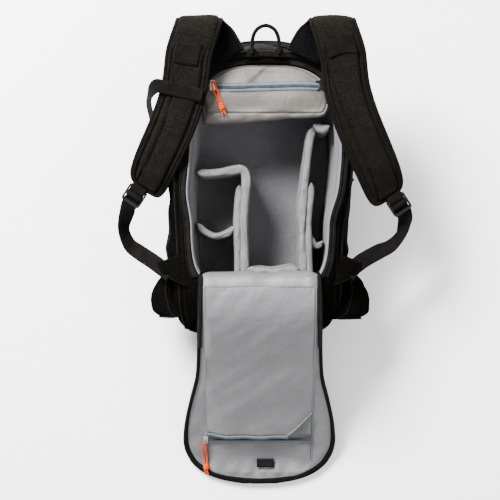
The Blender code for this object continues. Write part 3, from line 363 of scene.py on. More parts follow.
def make_looks():
    """All finishes by a short name."""
    looks = {}
    # 600 denier nylon, plain woven and coated: a dull black with a faint grey bloom on its folds
    looks["shell"] = cloth("nylon_600d_plain_woven", ("050504", "080706"), 0.0012, 0.85, specular=0.0)
    # The front compartment's nylon, a lighter charcoal
    looks["front"] = cloth("nylon_420d_charcoal", ("121211", "181717"), 0.0012, 0.75, specular=0.01)
    # Dobby woven nylon of the straps. Its raised figures are drawn 2.6 mm apart so that they show.
    looks["strap"] = cloth("nylon_dobby_woven", ("0e0c0a", "110f0c"), 0.0026, 0.75, grain=0.0024,
                           depth=0.0009, specular=0.02, fleck=0.45)
    # Polyester spacer mesh, a knit with open cells that looks almost black
    looks["mesh"] = cloth("polyester_spacer_mesh", ("050506", "09090b"), 0.0032, 0.85, grain=0.003,
                          depth=0.0012, specular=0.01, fleck=0.4)
    # Grey lining nylon, smooth enough to catch the light along its folds
    looks["lining"] = cloth("nylon_lining_210d", ("535355", "58585a"), 0.0010, 0.42, grain=0.006,
                            depth=0.00012, folds=0.0006, specular=0.45, fleck=0.03)
    # The bay's loop pile, that the hooks of the padded walls hold on to: matt and even
    looks["bay"] = cloth("loop_pile_lining", ("5d5d60", "616164"), 0.0012, 0.9, grain=0.004, depth=0.0003,
                         folds=0.0005, specular=0.03, fleck=0.06)
    # The reverse of the lining, coated with greenish polyurethane
    looks["lining_back"] = cloth("nylon_lining_coated_back", ("525852", "5a605a"), 0.0010, 0.4,
                                 grain=0.006, depth=0.0001, fleck=0.03)
    # Padded pocket cloth, a little warmer than the lining
    looks["pocket"] = cloth("nylon_lining_quilted", ("494541", "4e4a46"), 0.0010, 0.5, grain=0.006,
                            depth=0.00012, folds=0.0006, specular=0.40, fleck=0.03)
    # Brushed loop cloth of the dividers, with a soft nap that brightens its edges
    looks["nap"] = cloth("brushed_loop_knit", ("6a6a6a", "747473"), 0.0011, 0.9, grain=0.0017, sheen=0.05,
                         tint="ffffff", depth=0.0010, folds=0.0008, specular=0.03, fleck=0.16)
    # Nylon webbing 24 mm wide, with ribs drawn 1.6 mm apart
    looks["webbing"] = ribbed("nylon_webbing", ("090807", "100e0d"), 0.0016, 0.75)
    # Grosgrain tape folded over the raw edges
    looks["binding"] = ribbed("grosgrain_binding_tape", ("080706", "0d0c0a"), 0.0012, 0.75, 0.0003)
    # Polyester zip tape, pale on the pockets and black on the door
    looks["tape"] = ribbed("polyester_zip_tape_pale", ("54585c", "5e6266"), 0.0010, 0.6, 0.0002)
    looks["dark_tape"] = ribbed("polyester_zip_tape_black", ("0c0b0a", "151312"), 0.0010, 0.6, 0.0002)
    # Nylon zip coil: close round turns with a slight gloss, drawn 1.6 mm apart
    looks["coil"] = ribbed("nylon_zip_coil_blue_grey", ("2e353b", "394148"), 0.0016, 0.5, 0.0006)
    looks["dark_coil"] = ribbed("nylon_zip_coil_black", ("121110", "1c1a19"), 0.0016, 0.40, 0.0008)
    looks["cord"] = braid()
    looks["acetal"] = moulded()
    looks["zinc"] = plated()
    # Stretch mesh of the side pocket, a dense black knit
    looks["stretch"] = cloth("nylon_stretch_mesh", ("080708", "0c0b0c"), 0.0018, 0.8, grain=0.0018,
                             depth=0.0008, specular=0.006)
    # A satin damask label without any print
    looks["label"] = ribbed("satin_damask_label", ("0c0b0f", "121116"), 0.0007, 0.4, 0.0001)
    # Bonded nylon thread, black on the shell and pale on the lining. The pale thread is drawn a darker grey than
    # the cloths it is sewn into, as painted shade along its stitch lines.
    looks["thread"] = ribbed("bonded_nylon_thread", ("12100f", "181614"), 0.0008, 0.7, 0.0002)
    looks["grey_thread_painted_shade"] = ribbed("bonded_nylon_thread_pale", ("3c3c40", "46464a"), 0.0008, 0.6, 0.0002)
    return looks


def braid():
    """Braided polyester cord in signal orange: slanted strands 1.6 mm apart over a round core."""
    made, tree, shader = blank("polyester_braided_cord_orange", 0.7, specular=0.04)
    where = add(tree, "ShaderNodeUVMap", {"uv_map": "cloth"}).outputs["UV"]
    turned = add(tree, "ShaderNodeMapping", values={"Rotation": (0, 0, math.radians(90))},
                 links={"Vector": where})
    strands = []
    for way in (where, turned.outputs["Vector"]):
        strands.append(add(tree, "ShaderNodeTexWave", {"bands_direction": "DIAGONAL"},
                           {"Scale": WAVE_PERIOD / 0.0016}, {"Vector": way}))
    height = add(tree, "ShaderNodeMath", {"operation": "MAXIMUM"},
                 links={k: strands[k].outputs["Fac"] for k in (0, 1)})
    tone = add(tree, "ShaderNodeMix", {"data_type": "RGBA"}, {6: linear("a02200"), 7: linear("c24000")},
               {"Factor": height.outputs[0]})
    tree.links.new(tone.outputs[2], shader.inputs["Base Color"])
    bumped(tree, shader, height.outputs[0], 0.0003)
    return made


def moulded():
    """Black acetal from a spark eroded mould, with a grain of 0.7 mm."""
    made, tree, shader = blank("acetal_moulded_black", 0.52, specular=0.12)
    room = add(tree, "ShaderNodeTexCoord").outputs["Object"]
    tree.links.new(mottle(tree, room, ("0a0a0a", "100f0f"), 0.015), shader.inputs["Base Color"])
    grain = add(tree, "ShaderNodeTexNoise", values={"Scale": 1 / 0.0007, "Detail": 2.0},
                links={"Vector": room})
    bumped(tree, shader, grain.outputs["Fac"], 0.00008)
    return made


def plated():
    """Nickel plate over die cast zinc: bright, with a faint orange peel and duller worn spots."""
    made, tree, shader = blank("nickel_plated_zinc", 0.28, metallic=1.0, specular=0.5)
    room = add(tree, "ShaderNodeTexCoord").outputs["Object"]
    tree.links.new(mottle(tree, room, ("a9a9a6", "cfcfcc"), 0.004), shader.inputs["Base Color"])
    peel = add(tree, "ShaderNodeTexNoise", values={"Scale": 900.0, "Detail": 2.0}, links={"Vector": room})
    bumped(tree, shader, peel.outputs["Fac"], 0.00006)
    return made


LOOKS = make_looks()


# Shapes
def smooth_step(share):
    """0 up to a share of 0, 1 from a share of 1, and a soft rise between."""
    t = np.clip(share, 0.0, 1.0)
    return t * t * (3 - 2 * t)


def unit(rows):
    """The rows as directions of length one."""
    return rows / np.linalg.norm(rows, axis=-1, keepdims=True)


def run_along(path):
    """How far along a path each of its points lies, in metres."""
    return np.concatenate([[0], np.cumsum(np.linalg.norm(np.diff(path, axis=0), axis=1))])


def smooth_rows(rows, steps):
    """A smooth curve through the rows, with that many points to each stretch."""
    held = np.array(rows, float)
    held = np.vstack([2 * held[0] - held[1], held, 2 * held[-1] - held[-2]])
    made = []
    for i in range(1, len(held) - 2):
        a, b, c, d = held[i - 1:i + 3]
        for step in range(steps):
            t = step / steps
            made.append(0.5 * (2 * b + (c - a) * t + (2 * a - 5 * b + 4 * c - d) * t ** 2
                               + (3 * b - a - 3 * c + d) * t ** 3))
    made.append(held[-2])
    return np.array(made)


def even(path, count):
    """The path with evenly spaced points."""
    path = np.array(path, float)
    run = run_along(path)
    at = np.linspace(0, run[-1], count)
    return np.column_stack([np.interp(at, run, path[:, k]) for k in range(path.shape[1])])


def lean(y):
    """How far the body's middle lies to the right at a place along it."""
    return TOP_SHIFT * smooth_step((np.asarray(y) / BODY_LENGTH + 0.14) / 0.28)


def strap_lean(y):
    """The same for the straps, which begin to lean lower down."""
    return TOP_SHIFT * smooth_step((y / BODY_LENGTH + 0.31) / 0.25)


def waist_at(y, waist):
    """The share of its width that an outline keeps below its middle."""
    return 1 - waist * smooth_step(-y / (0.14 * BODY_LENGTH))


def oval(left, right, low, high, waist, z, widest=0.0, grow=0.0, count=200):
    """A closed outline from its low middle point round by +X. grow moves it outwards."""
    halves = []
    for side, reach in ((1, right), (-1, left)):
        angles = np.linspace(-math.pi / 2, math.pi / 2, 601)
        power = np.where(angles < 0, 6.0, 3.0)
        end = np.where(angles < 0, widest - low, high - widest)
        up = np.sign(np.sin(angles)) * np.abs(np.sin(angles)) ** (2 / power)
        y = widest + up * (end + grow)
        x = (reach + grow) * np.abs(np.cos(angles)) ** (2 / power) * waist_at(y, waist)
        rows = np.column_stack([side * x + lean(y), y])
        halves.append(even(rows, count // 2 + 1))
    ring = np.vstack([halves[0][:-1], halves[1][::-1][:-1]])
    return np.column_stack([ring, np.full(len(ring), z)])


def level_ring(row, grow=0.0, lift=0.0, count=200):
    """The outline of the body or the front compartment at one row of its table."""
    height, left, right, low, high, waist = row
    return oval(left * HALF, right * HALF, low * BODY_LENGTH, high * BODY_LENGTH, waist,
                height * RIM_HEIGHT + lift, grow=grow, count=count)


def level_at(levels, height):
    """A row of such a table at a height between its own."""
    heights = [row[0] for row in levels]
    return tuple(float(np.interp(height, heights, [row[k] for row in levels])) for k in range(6))


def outward(ring):
    """The level direction away from the middle at each point of a ring that runs round by +X."""
    ahead = np.roll(ring, -1, axis=0) - np.roll(ring, 1, axis=0)
    return unit(np.column_stack([ahead[:, 1], -ahead[:, 0], np.zeros(len(ring))]))


def opening_ring(z, grow=0.0, count=200):
    """The edge of the opening in the harness side."""
    high = OPENING_HIGH * BODY_LENGTH
    return oval(OPENING_HALF, OPENING_HALF, high - OPENING_LENGTH, high, 0.09, z,
                widest=0.07 * BODY_LENGTH, grow=grow, count=count)


def bay_ring(z, shrink, grow=0.0, count=200):
    """The bay's wall at a height. It reaches past the opening at both ends."""
    high = OPENING_HIGH * BODY_LENGTH + 0.2 * BAY_MARGIN
    low = OPENING_HIGH * BODY_LENGTH - OPENING_LENGTH - BAY_MARGIN
    half = OPENING_HALF * shrink
    return oval(half, half, low, high, 0.05, z, grow=grow, count=count)


def ripple(points, length, seed, count=7, squeeze=(1.0, 1.0, 1.0)):
    """Soft rises and dips of a length in metres, the same on each run."""
    rng = np.random.default_rng(seed)
    points = np.asarray(points) * np.array(squeeze)
    total = np.zeros(points.shape[:-1])
    for _ in range(count):
        way = unit(rng.normal(size=3))
        turns = 2 * math.pi / (length * rng.uniform(0.7, 1.4))
        total += np.sin(points @ way * turns + rng.uniform(0, 6.28))
    return total / math.sqrt(count)


def build(name, points, faces, uvs, look, indices=None, looks=None):
    """One closed or open mesh with its cloth coordinates, its normals out and its materials."""
    mesh = bpy.data.meshes.new(name)
    mesh.from_pydata(np.array(points).tolist(), [], faces)
    layer = mesh.uv_layers.new(name="cloth")
    layer.data.foreach_set("uv", np.array(uvs, float).ravel())
    for key in looks or [look]:
        mesh.materials.append(LOOKS[key])
    if indices is not None:
        mesh.polygons.foreach_set("material_index", np.array(indices, dtype=np.int32))
    work = bmesh.new()
    work.from_mesh(mesh)
    bmesh.ops.recalc_face_normals(work, faces=work.faces)
    if work.calc_volume(signed=True) < 0:
        bmesh.ops.reverse_faces(work, faces=work.faces)
    work.to_mesh(mesh)
    work.free()
    mesh.shade_smooth()
    obj = bpy.data.objects.new(name, mesh)
    bpy.context.scene.collection.objects.link(obj)
    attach(obj, "root")
    return obj


def wrap(name, rings, look, closed=False, strip=False, looks=None, pick=None):
    """A skin round a row of rings. strip joins a flat ring's two halves at each end."""
    rings = np.array(rings, float)
    total, count = rings.shape[:2]
    around = np.linalg.norm(np.roll(rings, -1, axis=1) - rings, axis=2).mean(axis=0)
    u = np.concatenate([[0], np.cumsum(around)])
    step = np.linalg.norm(np.roll(rings, -1, axis=0) - rings, axis=2).mean(axis=1)
    v = np.concatenate([[0], np.cumsum(step)])
    points = list(rings.reshape(-1, 3))
    faces = []
    uvs = []
    indices = []
    for i in range(total if closed else total - 1):
        k = (i + 1) % total
        for j in range(count):
            n = (j + 1) % count
            faces.append((i * count + j, i * count + n, k * count + n, k * count + j))
            uvs += [(u[j], v[i]), (u[j + 1], v[i]), (u[j + 1], v[i + 1]), (u[j], v[i + 1])]
            indices.append(pick(i / total, j / count) if pick else 0)
    for end in () if closed else (0, total - 1):
        base = end * count
        if strip:
            for j in range(count // 2 - 1):
                faces.append((base + j, base + j + 1, base + count - 2 - j, base + count - 1 - j))
                uvs += [points[k][:2] for k in faces[-1]]
                indices.append(0)
            continue
        middle = len(points)
        points.append(rings[end].mean(axis=0))
        for j in range(count):
            n = (j + 1) % count
            faces.append((base + j, base + n, middle))
            uvs += [points[k][:2] for k in faces[-1]]
            indices.append(0)
    return build(name, points, faces, uvs, look, indices if pick else None, looks)


def slab(name, upper, lower, look):
    """A closed sheet between two grids of points."""
    rings = np.concatenate([np.array(upper), np.array(lower)[:, ::-1]], axis=1)
    return wrap(name, rings, look, strip=True)


def two_grids(rows, cols, pair):
    """The upper and the lower grid of a slab. pair gives both points at a row and a column."""
    made = np.array([[pair(row, col) for col in cols] for row in rows], float)
    return made[:, :, 0], made[:, :, 1]


def frames_along(path, up=(0.0, 0.0, 1.0)):
    """Ahead, side and up directions at each point of a path, without twist."""
    ahead = unit(np.gradient(path, axis=0))
    sides = []
    last = np.cross(ahead[0], up)
    if np.linalg.norm(last) < 1e-3:
        last = np.cross(ahead[0], (1.0, 0.0, 0.0))
    for way in ahead:
        last = unit(last - way * np.dot(last, way))
        sides.append(last)
    sides = np.array(sides)
    return ahead, sides, np.cross(sides, ahead)


def hose(name, path, radius, look, sides=10, flat=1.0, closed=False):
    """A round or flattened cord along a path, with domed ends. radius is a number or one for each point."""
    path = np.array(path, float)
    radius = np.broadcast_to(np.asarray(radius, float), len(path))
    ahead, side, up = frames_along(path)
    angles = np.linspace(0, 2 * math.pi, sides, endpoint=False)[:, None]

    def section(at, centre, scale=1.0):
        return centre + scale * radius[at] * (np.cos(angles) * side[at] + flat * np.sin(angles) * up[at])

    rings = [section(k, path[k]) for k in range(len(path))]
    if not closed:
        for share in (0.5, 0.85):
            scale = math.sqrt(1 - share ** 2)
            rings.insert(0, section(0, path[0] - ahead[0] * radius[0] * share, scale))
            rings.append(section(-1, path[-1] + ahead[-1] * radius[-1] * share, scale))
    return wrap(name, rings, look, closed=closed)


def band(name, spots, acrosses, half, thick, look, count=5):
    """Flat webbing along a route, with rounded selvedges."""
    spots = np.array(spots, float)
    section = [(a, -1 if abs(a) < 1 else -0.3) for a in np.linspace(-1, 1, 2 * count + 1)]
    section = section + [(a, -h) for a, h in reversed(section)]
    rings = []
    for spot, across, way in zip(spots, acrosses, np.gradient(spots, axis=0)):
        across = unit(across)
        up = unit(np.cross(across, way))
        rings.append([spot + across * a * half + up * h * thick / 2 for a, h in section])
    return wrap(name, rings, look, strip=True)


def tree_of(obj):
    """The piece's surface, to drop points on."""
    mesh = obj.data
    return BVHTree.FromPolygons([v.co for v in mesh.vertices], [tuple(p.vertices) for p in mesh.polygons])


def drape(spots, tree, lift):
    """Points over a surface, dropped on it from above."""
    made = []
    for x, y in spots:
        hit = tree.ray_cast(Vector((x, y, 0.5)), Vector((0, 0, -1)))
        if hit[0] is not None:
            made.append(np.array(hit[0]) + np.array(hit[1]) * lift)
    return np.array(made)


def stitches(name, path, look, radius=THREAD, stitch=0.0032, gap=0.0012):
    """A line of short raised stitches along a path, as one piece. Each is a thin loaf with few sides."""
    path = even(path, max(4, int(run_along(np.array(path, float))[-1] / 0.0008)))
    run = run_along(path)
    ahead, side, up = frames_along(path)
    sides = 5
    angles = np.linspace(0, 2 * math.pi, sides, endpoint=False)
    loaf = ((0.0, 0.3), (0.3, 1.0), (0.7, 1.0), (1.0, 0.3))
    points, faces, uvs = [], [], []
    at = gap
    while at + stitch < run[-1]:
        base = len(points)
        for share, size in loaf:
            s = at + share * stitch
            middle = np.array([np.interp(s, run, path[:, c]) for c in range(3)])
            i = min(len(path) - 1, int(np.searchsorted(run, s)))
            for angle in angles:
                around = math.cos(angle) * side[i] * 1.3 + math.sin(angle) * up[i]
                points.append(middle + radius * size * around)
        for k in range(len(loaf) - 1):
            first = base + k * sides
            for j in range(sides):
                n = (j + 1) % sides
                faces.append((first + j, first + n, first + sides + n, first + sides + j))
                uvs += [(0, 0), (0.001, 0), (0.001, 0.001), (0, 0.001)]
        for k in (0, len(loaf) - 1):
            faces.append(tuple(base + k * sides + j for j in range(sides)))
            uvs += [(0, 0)] * sides
        at += stitch + gap
    return build(name, points, faces, uvs, look)


# The body
def make_body():
    """The outer tub: rounded side walls with slack folds, the flat rim and the wall inside it."""
    rings = []
    for row in smooth_rows(SHELL_LEVELS + (RIM_TOP,), 7):
        ring = level_ring(row)
        level = row[0]
        slack = smooth_step((level - 0.21) / 0.1) * smooth_step((0.98 - level) / 0.1)
        wave = 0.0016 * ripple(ring, 0.085, 3) + 0.0008 * ripple(ring, 0.03, 5, squeeze=(1, 1, 0.5))
        tuck = -0.0022 * math.exp(-((level - MIDDLE_SEAM) / 0.02) ** 2)
        rings.append(ring + outward(ring) * ((wave - 0.0012) * slack + tuck)[:, None])
    hole = LINING_EDGE + SEAM_GAP
    for drop, grow in ((0.0, hole + 0.004), (0.0, hole), (0.009, hole)):
        rings.append(opening_ring(RIM_HEIGHT - drop, grow=grow))
    rings.append(level_ring(SHELL_LEVELS[5], grow=-SHELL_WALL, lift=-0.010))
    for row in SHELL_LEVELS[3:0:-1]:
        rings.append(level_ring(row, grow=-SHELL_WALL))
    floor = level_ring(SHELL_LEVELS[0], grow=-SHELL_WALL)
    floor[:, 2] = FRONT_DEPTH + SHELL_WALL
    rings.append(floor)
    body = wrap("body_cloth", rings, "shell")
    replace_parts(body, "main_shell")
    return body


def make_piping(body):
    """Corded seams laid on the body from above, their stitches, and the seam round its middle."""
    tree = tree_of(body)
    for side, name in ((-1, "piping_left"), (1, "piping_right")):
        route = [(side * out * HALF + float(lean(up * BODY_LENGTH)), up * BODY_LENGTH)
                 for out, up in PIPING_ROUTE]
        line = drape(even(smooth_rows(route, 10), 90), tree, 0.0008)
        cord = hose(name + "_seam", line, PIPING_RADIUS, "binding", sides=8)
        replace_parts(cord, name)
        beside = [(x - side * 0.0065, y) for x, y in route]
        line = drape(even(smooth_rows(beside, 10), 90), tree, 0.0002)
        stitches(name + "_stitches", line, "thread")
    ring = level_ring(level_at(SHELL_LEVELS, MIDDLE_SEAM), grow=-0.0004)
    hose("middle_seam", ring, SEAM_RADIUS, "binding", sides=8, closed=True)


def make_front():
    """The soft front compartment that the bag lies on, with its zip round the side."""
    rings = []
    for row in smooth_rows(FRONT_LEVELS, 7):
        ring = level_ring(row)
        slack = smooth_step(row[0] / 0.05)
        ring = ring + outward(ring) * ((0.0018 * ripple(ring, 0.07, 11) - 0.0014) * slack)[:, None]
        ring[:, 2] = np.clip(ring[:, 2], 0.0, FRONT_DEPTH)
        rings.append(ring)
    cushion = wrap("front_compartment", rings, "front")
    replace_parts(cushion, "front_pocket")
    ends = -0.09
    line = [p for p in level_ring(level_at(FRONT_LEVELS, FRONT_ZIP), grow=-0.0002) if p[1] > ends]
    line.sort(key=lambda p: math.atan2(p[0] - 0.004, p[1] - ends))
    hose("front_zip_coil", line, 0.0018, "dark_coil", sides=8)
    hose("front_zip_edge", np.array(line) + np.array([0, 0, 0.006]), COIL_RADIUS, "binding", sides=8)
    rim = level_ring(FRONT_LEVELS[-1], grow=0.0014, lift=-0.0010)
    hose("front_seam", rim, 0.0015, "binding", sides=8, closed=True)


def make_lining():
    """The padded grey tub of the camera bay with its bound upper edge."""
    lip = RIM_HEIGHT - 0.018
    centre = np.array([0.004, 0.0])
    walls = []
    for share in np.linspace(0, 1, 22):
        ring = bay_ring(FLOOR_LEVEL + share * (lip - FLOOR_LEVEL), 0.90 + 0.07 * share ** 0.7, grow=-0.001)
        arch = math.sin(math.pi * share)
        puff = 0.0035 * arch ** 0.6 + 0.0016 * ripple(ring, 0.07, 21) * arch
        ring[:, :2] += unit(centre - ring[:, :2]) * np.maximum(puff, 0.0)[:, None]
        walls.append(ring)
    edge = ((0.004, -0.0015), (0.009, -0.0018), (0.014, -0.0014), (0.0168, 0.0), (0.0172, 0.0012),
            (0.0164, 0.0022), (0.006, LINING_EDGE))
    hem = [opening_ring(lip + lift, grow=grow) for lift, grow in edge]
    outside = [bay_ring(lip, 0.985, grow=0.005), bay_ring(FLOOR_LEVEL, 0.925, grow=0.005),
               bay_ring(FLOOR_LEVEL - 0.005, 0.90, grow=0.003)]
    middle = walls[0].mean(axis=0)
    floor = []
    for share in (0.04, 0.25, 0.45, 0.62, 0.76, 0.86, 0.92, 0.955, 0.972, 0.985):
        ring = middle + (walls[0] - middle) * share
        slack = 0.0006 * ripple(ring, 0.06, 23) * (share < 0.95)
        ring[:, 2] += 0.0012 * smooth_step((0.97 - share) / 0.05) + slack
        floor.append(ring)
    tub = wrap("bay_lining", floor + walls + hem + outside, "bay")
    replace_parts(tub, "lining")
    tape = opening_ring(RIM_HEIGHT + 0.0002, grow=0.0010)
    tape[:, 2] -= 0.0075 * smooth_step((tape[:, 1] - 0.20 * BODY_LENGTH) / (0.06 * BODY_LENGTH))
    hose("bay_edge_tape", tape, 0.0013, "bay", sides=8, closed=True)


def make_rim():
    """The door zip's tape and teeth round the opening, and the fold that covers them at the top."""
    start = (FLAP_ROOT - 0.02) * BODY_LENGTH
    near = LINING_EDGE + 0.0006

    def run(grow, lift):
        """The opening's edge above the door's root, some way out and up."""
        return np.array([p for p in opening_ring(RIM_HEIGHT + lift, grow=grow) if p[1] > start])

    inner, outer = run(near, 0.0), run(near + ZIP_TAPE, 0.0)
    count = min(len(inner), len(outer))
    inner, outer = even(inner, count), even(outer, count)
    up = np.array([0, 0, 1.0])
    section = ((0, 0.0016), (0.2, 0.0022), (0.45, 0.0014), (0.75, 0.0019), (1, 0.0010))
    top = [[a * (1 - s) + b * s + up * h for s, h in section] for a, b in zip(inner, outer)]
    bottom = [[a * (1 - s) + b * s + up * SEAM_GAP for s, _ in section] for a, b in zip(inner, outer)]
    tape = slab("rim_zip_tape", top, bottom, "dark_tape")
    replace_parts(tape, "rim_zip")
    hose("rim_zip_coil", run(LINING_EDGE + 0.0022, 0.0024), COIL_RADIUS, "dark_coil", sides=8)
    hose("rim_zip_fold", run(near + ZIP_TAPE, 0.0014), 0.0014, "binding", sides=8)


def upper_line(ring):
    """The upper part of a ring from left to right."""
    kept = ring[ring[:, 1] > 0.1 * BODY_LENGTH]
    return kept[np.argsort(kept[:, 0])]


def make_yoke():
    """The padded yoke between the opening and the rim's edge, and the garage that the zip ends in."""
    half = 0.092
    near = upper_line(opening_ring(RIM_HEIGHT, grow=0.0115, count=400))
    far = upper_line(level_ring(RIM_TOP, grow=0.0035, count=400))

    def pair(x, share):
        low = np.interp(x, near[:, 0], near[:, 1]) + 0.0005
        high = np.interp(x, far[:, 0], far[:, 1])
        puff = (1 - abs(2 * share - 1) ** 4) ** 0.5
        ends = smooth_step((half - abs(x - TOP_SHIFT)) / 0.012 + 0.15)
        ridge = 0.0012 * math.exp(-((share - 0.72) / 0.08) ** 2)
        lift = 0.0075 * puff * ends + ridge + 0.0005 * float(ripple([x, share * 0.02, 0], 0.02, 8))
        y = low + share * (high - low)
        return (x, y, RIM_HEIGHT + 0.0006 + max(lift, 0.0)), (x, y, RIM_HEIGHT + 0.0002)

    xs = np.linspace(-half, half, 60) + TOP_SHIFT
    yoke = slab("yoke_pad", *two_grids(xs, np.linspace(0, 1, 14), pair), "strap")
    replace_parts(yoke, "yoke_panel")

    count = 24
    xs = np.linspace(-0.030, 0.036, count) + TOP_SHIFT
    arc = [(x, np.interp(x, near[:, 0], near[:, 1]) - 0.0052, RIM_HEIGHT + 0.0035) for x in xs]
    taper = np.sin(np.linspace(0.25, math.pi - 0.25, count)) ** 0.5
    hose("zip_garage", arc, 0.0034 * taper, "shell", sides=14, flat=0.45)


# The door
class Door:
    """The open door. Its pieces are given across, along and up from its underside."""

    def __init__(self):
        root = FLAP_ROOT * BODY_LENGTH
        rows = [(root - reach * FLAP_REACH, height * RIM_HEIGHT) for reach, height in FLAP_ROUTE]
        steps = 12
        self.line = smooth_rows(rows, steps)
        self.line[:, 1] = np.maximum(self.line[:, 1], 0.0)
        fold = 4
        run = run_along(self.line)
        self.run = run - run[fold * steps] + FLAP_ROUTE[fold][0] * FLAP_REACH
        self.begin = self.run[0]
        self.length = self.run[-1]
        slope = unit(np.gradient(self.line, axis=0))
        self.normal = np.column_stack([slope[:, 1], -slope[:, 0]])
        sides = smooth_rows(FLAP_SIDES, 8)
        self.edge = np.column_stack([sides[:, 1] * FLAP_HALF, sides[:, 0] * self.length])

    def half_width(self, along, by):
        """Half the door's width at a place along it, with the edge moved in."""
        ahead = unit(np.gradient(self.edge, axis=0))
        moved = self.edge + by * np.column_stack([-ahead[:, 1], ahead[:, 0]])
        moved = moved[np.argsort(moved[:, 1])]
        return np.interp(along, moved[:, 1], moved[:, 0])

    def spot(self, across, along, up):
        """The point in the room."""
        y = np.interp(along, self.run, self.line[:, 0])
        z = np.interp(along, self.run, self.line[:, 1])
        n = np.array([np.interp(along, self.run, self.normal[:, k]) for k in range(2)])
        n = n / np.linalg.norm(n)
        return np.array([across, y + n[0] * up, z + n[1] * up])


def door_grid(door, rows, cols, by, height):
    """Points over the door: stations along it, then across, at one height or at a formula's."""
    made = []
    for s in rows:
        w = float(door.half_width(s, by))
        across = np.linspace(-1, 1, cols) * w
        lift = height(across, s, w) if callable(height) else np.full(cols, height)
        made.append([door.spot(x, s, h) for x, h in zip(across, lift)])
    return np.array(made)


def make_door(door):
    """The door's lining and its outer side, which meet half way through its padding."""
    inset = 0.0022
    bend = 0.86 * door.length
    rows = np.concatenate([np.linspace(door.begin, bend, 110),
                           np.linspace(bend, door.length - inset, 40)[1:]])
    cols = 61

    def face(across, s, w):
        """The lining's height: padded in the middle, gathered round the far end, with slack folds."""
        far = 0.0045 * smooth_step((s / door.length - 0.62) / 0.3)
        edge = np.clip((w - np.abs(across) - 0.0030 - far) / 0.010, 0, 1)
        edge = edge * np.clip((door.length - s - 0.0065) / 0.012, 0, 1)
        base = FLAP_PAD + THIN_CLOTH + 0.0010 * np.sqrt(edge) - 0.0022 * (1 - edge)
        spots = np.stack([across, np.full_like(across, s), np.zeros_like(across)], axis=-1)
        fold = 0.0013 * ripple(spots, 0.11, 31, squeeze=(1.0, 0.6, 1)) + 0.0008 * ripple(spots, 0.045, 33)
        near_end = smooth_step((s - 0.88 * door.length) / (0.06 * door.length))
        near_end = near_end * smooth_step((door.length - s - 0.008) / 0.012)
        gather = 0.0012 * near_end * np.sin(across / 0.0046 + 2.0 * np.sin(across / 0.031)) * edge
        low = smooth_step((np.abs(across) / w - 0.80) / 0.15) * smooth_step((s / door.length - 0.55) / 0.2)
        gather = gather + 0.0007 * low * np.sin(s / 0.0085) * edge
        return base + fold * edge + gather

    top = door_grid(door, rows, cols, inset, face)
    middle = door_grid(door, rows, cols, inset, 0.006)
    bottom = door_grid(door, rows, cols, inset, 0.0006)
    cover = slab("door_lining", top, middle, "lining")
    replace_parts(cover, "flap_lining")
    outer = slab("door_back", middle, bottom, "shell")
    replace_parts(outer, "flap_pad")


def make_door_edge(door):
    """The bound edge, a flattened roll of tape down one side and up the other, and the zip's two halves."""
    sides = door.edge
    mirrored = np.column_stack([-sides[:, 0], sides[:, 1]])
    full = np.vstack([mirrored, [[0.0, door.length * 1.003]], sides[::-1]])
    full[:, 1] = np.maximum(full[:, 1], door.begin)
    count = 330
    full = even(full, count)
    ahead = unit(np.gradient(full, axis=0))
    out = np.column_stack([-ahead[:, 1], ahead[:, 0]])
    if out[count // 2, 1] < 0:
        out = -out
    tall = 0.0108
    rings = []
    for spot, way in zip(full, out):
        wide = 0.0056 + 0.0044 * smooth_step((spot[1] / door.length - 0.62) / 0.3)
        centre = spot - way * (wide / 2 - 0.0006)
        ring = []
        for angle in np.linspace(0, 2 * math.pi, 14, endpoint=False):
            c, s = math.cos(angle), math.sin(angle)
            x, along = centre + way * math.copysign(abs(c) ** 0.7, c) * wide / 2
            height = tall / 2 + math.copysign(abs(s) ** 0.7, s) * (tall / 2 + 0.0006)
            ring.append(door.spot(x, along, max(height, 0.0002)))
        rings.append(ring)
    bound = wrap("door_binding", rings, "binding")
    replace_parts(bound, "flap_binding")
    for side, tag in ((-1, "left"), (1, "right")):
        for part, by, up, radius in (("tape", 0.0046, 0.0112, 0.0019), ("coil", 0.0024, 0.0114, COIL_RADIUS)):
            line = [door.spot(side * (float(door.half_width(s, 0)) - by), s, up)
                    for s in np.linspace(0.012, 0.30 * door.length, 70)]
            hose("door_zip_%s_%s" % (part, tag), line, radius, "dark_" + part, sides=8, flat=0.6)


